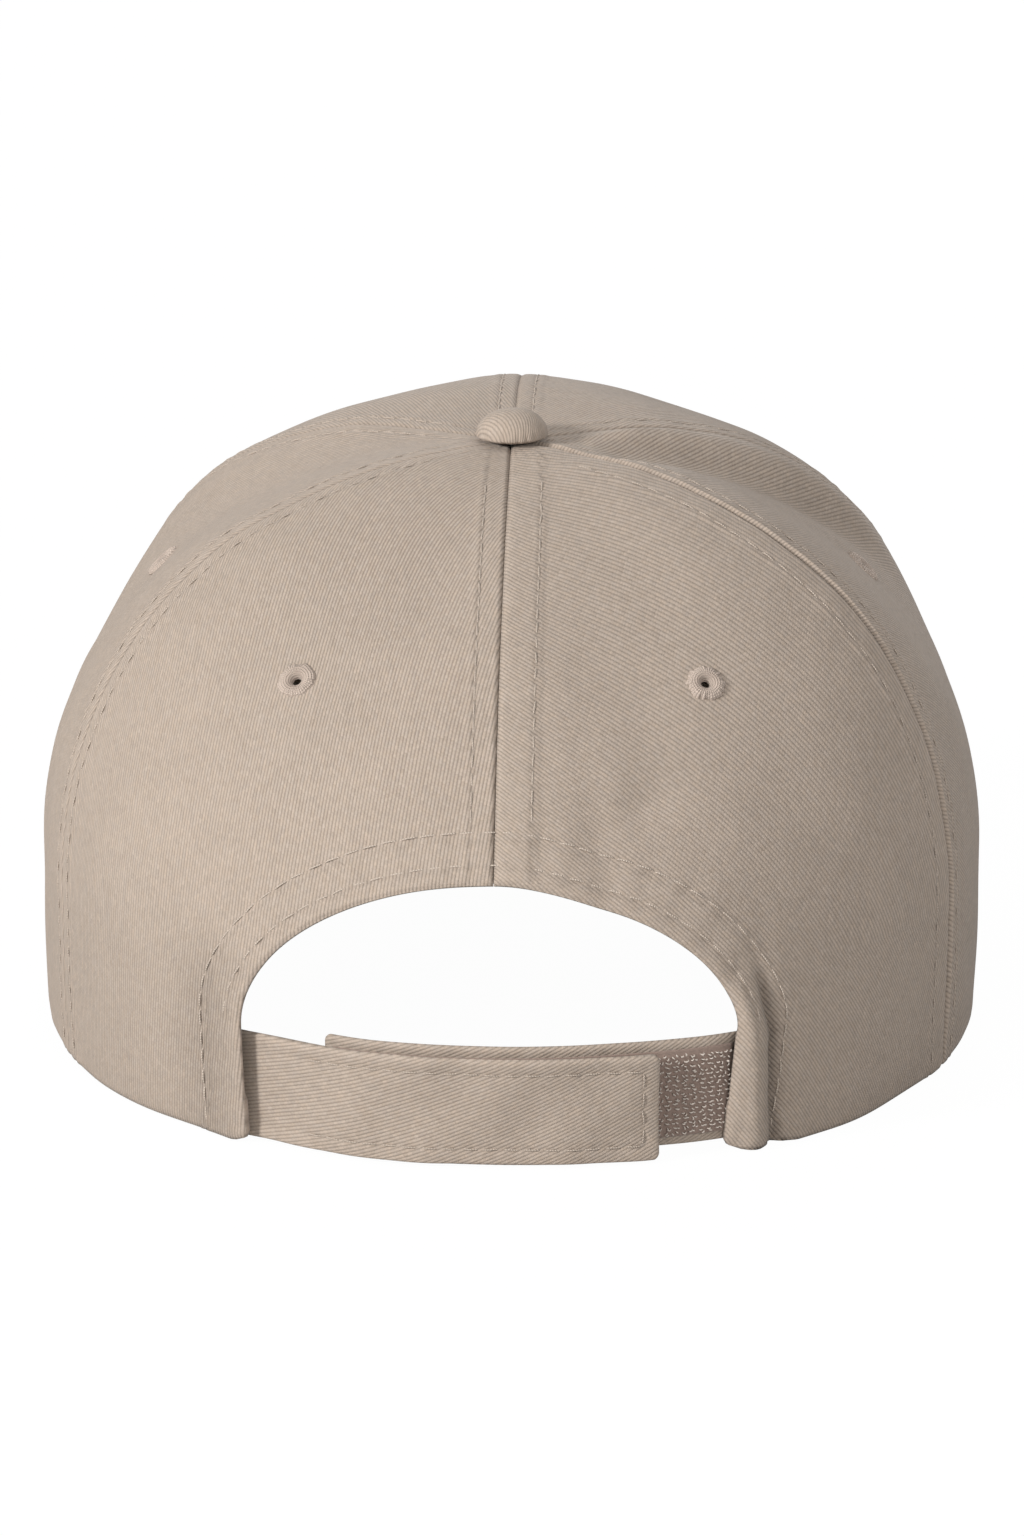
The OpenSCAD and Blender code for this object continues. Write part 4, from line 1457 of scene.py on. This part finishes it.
def make_visor_cover(side):
    """Top (side 1) or bottom (side -1) cloth, rolled together at the outer edge."""
    even = np.linspace(-1, 1, 241)
    places = np.sin(even * np.pi / 2) * 0.3 + even * 0.7
    t, s = grid_of(1 - dense_ends(1, 91, 0.004), places * 0.97)
    base, normal = visor_point(s, t), visor_normal(s, t)
    from_edge = visor_rows(s, t)
    across = row_lengths(base)
    edge = np.minimum(from_edge, np.minimum(across, across[:, -1:] - across))
    round_edge = np.sqrt(1 - (1 - np.clip(edge / 2.0, 0, 1)) ** 2)
    height = 0.03 + (COVER_TOP - 0.03) * round_edge
    relief = np.zeros(height.shape)
    for row in VISOR_ROW_PLACES:
        relief = relief - needle_holes(from_edge, across, row, 0.30)
    relief = relief + 0.10 * unevenness(base)
    inside = np.maximum(height - COVER_THICKNESS, 0.015)
    outer = base + normal * (side * (height + relief * (height > 1)))[..., None]
    inner = base + normal * (side * inside)[..., None]
    weave = weave_vector(across - across[:, -1:] / 2, from_edge, 70 * side)
    # painted shade in the needle holes and right at the edge where the two covers meet; lighter
    # just inside the edge
    wear_and_shade = 0.6 * np.minimum(relief, 0) + 0.08 * bell(edge, 0.8, 0.8) - 0.2 * bell(edge, 0, 0.25)
    name = "visor_cover_top" if side > 0 else "visor_cover_bottom"
    order = slice(None, None, -side)
    piece = slab(name + "_cloth", outer[order], inner[order],
                 {"weave": weave[order], "wear_and_shade": wear_and_shade[order]})
    return finish_piece(piece, "cap_twill", replaces=[name])


def sew_visor():
    """Rows of stitches on both faces of the visor."""
    lines = []
    for side in (1, -1):
        for row in VISOR_ROW_PLACES:
            s = np.linspace(-0.94, 0.94, 500)
            s = s[visor_rows(s, np.zeros(s.shape)) > row + 5]
            t = 1 - row / visor_rows(s, np.zeros(s.shape))
            normal = visor_normal(s, t) * side
            lines.append((visor_point(s, t) + normal * (COVER_TOP - 0.16), normal))
    sew("visor_stitches", lines, pitch=3.4)


VISOR_PIECES = [make_visor_cover(1), make_visor_cover(-1)]
sew_visor()

# ---- Straps with hook and loop tape ----

OUTER_LOW = 0.4
INNER_LOW = 1.7
STRAP_HEIGHT = 20.5
STRAP_THICKNESS = 1.2
TAPE_WHOLE = 0.9
TAPE_GROUND = 0.35
SEWN_GAP = 0.08
PILE_GAP = 0.4
ROOT_DEPTH = 1.15
MIDDLE_DEPTH = -1.3
ROOT_RUN = 24.0
ROOT_X = 45.9
ANCHOR_REACH = 10.0
OUTER_TIP = -30.5
INNER_TIP = 33.0
TAPE_MARGIN = 1.8
STRAP_SEAM = 3.0
STRAP_ROW_START = 11.0
STRAP_CORNER = 1.4
HINGE_PLACE = 0.4
HINGE_HALF = 3.2
STRAP_THREAD_RADIUS = 0.8 * THREAD_RADIUS


def outer_depth(x):
    """How deep the outer tab's face lies inside the rim's line."""
    return ROOT_DEPTH + (MIDDLE_DEPTH - ROOT_DEPTH) * smoothstep(0, 1, (ROOT_X - x) / ROOT_RUN)


def inner_depth(x):
    """How deep the hook tape's face lies: against the outer tab, but for its own sewn end."""
    against = outer_depth(x) + STRAP_THICKNESS + SEWN_GAP + TAPE_WHOLE + PILE_GAP
    root = ROOT_DEPTH - SEWN_GAP - TAPE_WHOLE
    return against + (root - against) * smoothstep(0, 1, (-ROOT_X + ROOT_RUN - x) / ROOT_RUN)


def strap_frame(x):
    """Point of the rim's line at x with z 0, and the outward direction there."""
    u = 180 - np.degrees(np.arcsin(x / (HALF_WIDTH * (1 - RIM_TUCK))))
    p = crown_point(u, 2.0) * np.array([1, 1, 0])
    return p, unit(p * np.array([1, 0.95, 1]))


def strap_point(x, z, depth):
    p, n = strap_frame(x)
    return p + np.asarray(z)[..., None] * UP - np.asarray(depth)[..., None] * n


def strap_cloth(name, x_from, x_to, low, face, crinkle, seed):
    """Folded twill tab: x_from is its sewn end, x_to its free end, crinkle its face's waviness.
    Gives the tab, and a function for points and normals on its face."""
    length = abs(x_to - x_from)
    along = dense_ends(length, 330, 0.16)
    x = x_from + (x_to - x_from) * along / length
    z, x = grid_of(dense_ends(STRAP_HEIGHT, 71, 0.10)[::-1], x)
    cut_back = corner_cut(np.minimum(z, STRAP_HEIGHT - z), STRAP_CORNER)
    cut_back = cut_back * smoothstep(0.7, 1, (x - x_from) / (x_to - x_from))
    x = x - cut_back * np.sign(x_to - x_from)
    run = row_lengths(strap_frame(x)[0] + z[..., None] * UP)
    to_tip = run[:, -1:] - run
    edge = np.minimum(np.minimum(z, STRAP_HEIGHT - z), to_tip)
    full = edge_round(edge, 0.75) * STRAP_THICKNESS / 2
    rng = np.random.default_rng(seed)
    phase = rng.uniform(0, 6.28, 6)

    def wave_at(s, h):
        wave = np.sin(s / 6.1 + h / 5 + phase[0]) + np.sin(s / 3.7 - h / 3.1 + phase[1])
        wave = 0.09 * wave + 0.18 * np.sin(s / 11.0 + h / 30 + phase[2])
        return (wave + 0.05 * np.sin(s / 2.1 + phase[3])) * smoothstep(0, 12, s)

    def bow_at(s):
        return 0.25 * np.sin(s / 29 + phase[4]) * smoothstep(8, 24, s)

    wave, bow = wave_at(run, z), bow_at(run)
    rows = needle_holes(edge, run + z, STRAP_SEAM, 0.16) * smoothstep(16, 18, run)
    pull = 0.14 * bell(edge, 1.4, 1.1)
    pucker = 0.09 * np.sin((run + z) / 1.15 + 2 * np.sin(run / 7)) * bell(edge, STRAP_SEAM, 2.6)
    depth = face(x) + STRAP_THICKNESS / 2
    offset = -depth + 0.35 * wave
    face_out = offset + full + pull - rows + pucker * 0.6 + crinkle * wave
    outer = strap_point(x, z + low + bow, -face_out)
    inner = strap_point(x, z + low + bow, -(offset - full))
    across = ROOT_X - x
    climb = 0.27 * across + 0.002 * across ** 2
    weave = np.stack([(z - climb) / 1.07, across + 0.3 * z, np.zeros_like(z)], -1)
    # painted shade in the needle holes and in the troughs of the puckers; lighter along the edges
    wear_and_shade = -0.18 * rows + 0.07 * bell(edge, 0.5, 0.5) + 0.15 * np.minimum(pucker, 0)
    far = np.abs(x[0] - x_from)
    run_low = run[-1]
    order = slice(None, None, -1 if x_to > x_from else 1)
    piece = slab(name, outer[:, order], inner[:, order],
                 {"weave": weave[:, order], "wear_and_shade": wear_and_shade[:, order]})

    def on_face(at_x, at_z):
        at_run = np.interp(np.abs(at_x - x_from), far, run_low)
        out = (crinkle + 0.35) * wave_at(at_run, at_z)
        p = strap_point(at_x, at_z + low + bow_at(at_run), face(at_x) - out)
        return p, strap_frame(at_x)[1]

    return piece, on_face


def sew_outer_strap(on_face, start, end):
    """Row of stitches along both long edges of the outer tab and across its free end."""
    stop = OUTER_TIP + STRAP_SEAM
    high = STRAP_HEIGHT - STRAP_SEAM
    xs = np.linspace(ROOT_X - STRAP_ROW_START, stop, 170)
    zs = np.linspace(STRAP_SEAM, high, 40)
    lines = [on_face(xs, np.full(xs.shape, STRAP_SEAM)), on_face(xs, np.full(xs.shape, high)),
             on_face(np.full(zs.shape, stop), zs)]
    piece = sew("strap_outer_stitches", lines, body=None, radius=STRAP_THREAD_RADIUS,
                material="shaded_thread")
    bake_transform(piece)
    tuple(start)
    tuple(end)


def tape_slab(name, x_from, x_to, low, face):
    """Ground of a hook or loop tape."""
    height = STRAP_HEIGHT - 2 * TAPE_MARGIN
    z, x = grid_of(dense_ends(height, 25, 0.15)[::-1], np.linspace(x_from, x_to, 120))
    full = edge_round(np.minimum(z, height - z), 0.3) * TAPE_GROUND / 2
    middle = face(x) + TAPE_GROUND / 2
    outer = strap_point(x, z + low + TAPE_MARGIN, middle - full)
    inner = strap_point(x, z + low + TAPE_MARGIN, middle + full)
    weave = weave_vector(-x, z, 90)
    order = slice(None, None, -1 if x_to > x_from else 1)
    return slab(name, outer[:, order], inner[:, order],
                {"weave": weave[:, order], "wear_and_shade": np.zeros(x.shape)})


def strands(name, centres, outward, sideways, shape, radius, material, body):
    """Many small bent strands: shape lists (side, out) places in millimetres along each."""
    sides = 4
    shape = np.array(shape)
    direction = unit(np.gradient(shape, axis=0))
    rings = []
    for (across, out), (d_across, d_out) in zip(shape, direction):
        middle = centres + sideways * across + outward * out
        flat = unit(sideways * -d_out + outward * d_across)
        third = unit(np.cross(sideways, outward))
        for k in range(sides):
            angle = 2 * math.pi * k / sides
            rings.append(middle + radius * (math.cos(angle) * flat + math.sin(angle) * third))
    ends = [[0, 3, 2, 1]], (len(shape) - 1) * sides + np.arange(sides)[None]
    quads = np.concatenate([tube_quads(len(shape), sides), *ends])
    piece = new_mesh(name, np.stack(rings, 1).reshape(-1, 3),
                     copies_of(quads, len(rings), len(centres)))
    finish_piece(piece, material, body)


HOOK_SHAPE = [(0, -0.05), (0, 0.30), (0.05, 0.50), (0.20, 0.62), (0.38, 0.58), (0.46, 0.42),
              (0.44, 0.28)]
LOOP_SHAPE = [(-0.45, 0), (-0.42, 0.30), (-0.2, 0.52), (0.1, 0.55), (0.35, 0.38), (0.42, 0)]


def strand_field(x_from, x_to, low, pitch_x, pitch_z, seed, jitter):
    """Rows of places for strands on a tape, slightly irregular."""
    rng = np.random.default_rng(seed)
    height = STRAP_HEIGHT - 2 * TAPE_MARGIN - 1.6
    xs = np.arange(min(x_from, x_to) + 0.8, max(x_from, x_to) - 0.8, pitch_x)
    zs = np.arange(0, height, pitch_z) + low + TAPE_MARGIN + 0.8
    z, x = grid_of(zs, xs)
    x = x + rng.normal(0, jitter, x.shape) + (np.arange(len(zs)) % 2)[:, None] * pitch_x / 2
    z = z + rng.normal(0, jitter, z.shape)
    return x.ravel(), z.ravel(), rng


def make_tape(kind, strap, x_from, x_to, low, face, to_pile, pitch, seed, jitter):
    """A tape's ground; gives the feet of its strands with their normals and directions."""
    piece = tape_slab(kind + "_tape_ground", x_from, x_to, low, face)
    finish_piece(piece, kind + "_tape", strap + "_strap",
                 replaces=[f"strap_{strap}_{kind}_tape"])
    x, z, rng = strand_field(x_from, x_to, low, *pitch, seed, jitter)
    normal = strap_frame(x)[1]
    feet = strap_point(x, z, face(x) + to_pile)
    return feet, normal, unit(np.cross(normal, UP)), rng


def make_hook_tape():
    """Hook tape on the outer face of the inner tab."""
    feet, normal, along, rng = make_tape(
        "hook", "inner", INNER_TIP - 2, -ROOT_X + 1, INNER_LOW,
        lambda x: inner_depth(x) + TAPE_WHOLE - TAPE_GROUND, 0.0, (0.80, 0.92), 5, 0.12)
    turn = rng.normal(0, 0.5, len(feet))[:, None]
    flip = np.where(np.arange(len(feet)) % 2 == 0, 1.0, -1.0)[:, None]
    sideways = unit(along * flip * np.cos(turn) + UP * np.sin(turn))
    strands("hook_strands", feet, normal, sideways, HOOK_SHAPE, 0.13, "hook_strand",
            "inner_strap")


def make_loop_tape():
    """Loop tape on the inner face of the outer tab."""
    feet, normal, along, rng = make_tape(
        "loop", "outer", ROOT_X - 16, OUTER_TIP + 2, OUTER_LOW,
        lambda x: outer_depth(x) + STRAP_THICKNESS + SEWN_GAP, TAPE_GROUND, (0.85, 0.85), 9, 0.2)
    turn = rng.uniform(0, 6.28, len(feet))[:, None]
    sideways = along * np.cos(turn) + UP * np.sin(turn)
    strands("loop_strands", feet, -normal, sideways, LOOP_SHAPE, 0.07, "loop_tape",
            "outer_strap")


def hinge_span(x):
    """Points a little before and after a strap's fold, from the crown side outwards."""
    return [tuple(strap_frame(np.array(x + way * HINGE_HALF * np.sign(x)))[0] * MM)
            for way in (1, -1)]


def make_strap(strap, side, tip, low, face, crinkle, seed):
    """A tab and its sewn end; side is 1 where it is sewn to the wearer's left of the opening."""
    cloth, on_face = strap_cloth(f"strap_{strap}_cloth", side * (ROOT_X + ANCHOR_REACH), tip, low,
                                 face, crinkle, seed)
    finish_piece(cloth, "cap_twill", body=None,
                 replaces=[f"strap_{strap}", f"strap_{strap}_anchor"])
    start, end = hinge_span(side * (ROOT_X - HINGE_PLACE))
    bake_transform(cloth)
    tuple(start)
    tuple(end)
    return cloth, on_face, start, end


STRAP_OUTER_PIECE, OUTER_FACE, *OUTER_HINGE = make_strap("outer", 1, OUTER_TIP, OUTER_LOW,
                                                         outer_depth, 1.5, 3)
sew_outer_strap(OUTER_FACE, *OUTER_HINGE)
STRAP_INNER_PIECE = make_strap("inner", -1, INNER_TIP, INNER_LOW,
                               lambda x: inner_depth(x) + TAPE_WHOLE + SEWN_GAP, 0.0, 8)[0]
make_hook_tape()
make_loop_tape()

# ---- CAD nodes that stay, and what each cloth was cut from ----

for cad_node, material_name in (("visor_board", "visor_plastic"),
                                ("button_shell", "pressed_steel"),
                                ("button_rivet", "pressed_steel")):
    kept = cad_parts[cad_node]
    kept.data.materials.clear()
    kept.data.materials.append(MATERIALS[material_name])

PANEL_CUT_WIDTHS = {"front": 116, "side": 103, "back": 127}
PANEL_CUT_LENGTH = 190
CUTS = [
    # pieces, width and length of the cut in millimetres, what they rest on
    (TAPE_PIECES, 13, 185, ["panel_front_left"]),
    ([BINDING_PIECE], 12, 150, ["panel_back_left", "panel_back_right"]),
    ([SWEATBAND_PIECE], 36, 520, ["sweatband_foam"]),
    (BUCKRAM_PIECES, 105, 175, ["panel_front_left"]),
    (VISOR_PIECES, 200, 125, ["visor_board"]),
    ([STRAP_OUTER_PIECE], 24, 96, ["panel_back_left"]),
    ([STRAP_INNER_PIECE], 24, 98, ["panel_back_right"]),
]


def declare(piece, width, length, rests_on):
    """Takes a sheet and the rectangle that its cut fits in, in millimetres; these are not used, and
    nothing is declared.
    """
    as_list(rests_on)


for panel_name, panel_piece in PANEL_PIECES.items():
    declare(panel_piece, PANEL_CUT_WIDTHS[panel_name.split("_")[1]], PANEL_CUT_LENGTH,
            ["visor_board", "sweatband"])
for cut_pieces, *cut in CUTS:
    for cut_piece in cut_pieces:
        declare(cut_piece, *cut)
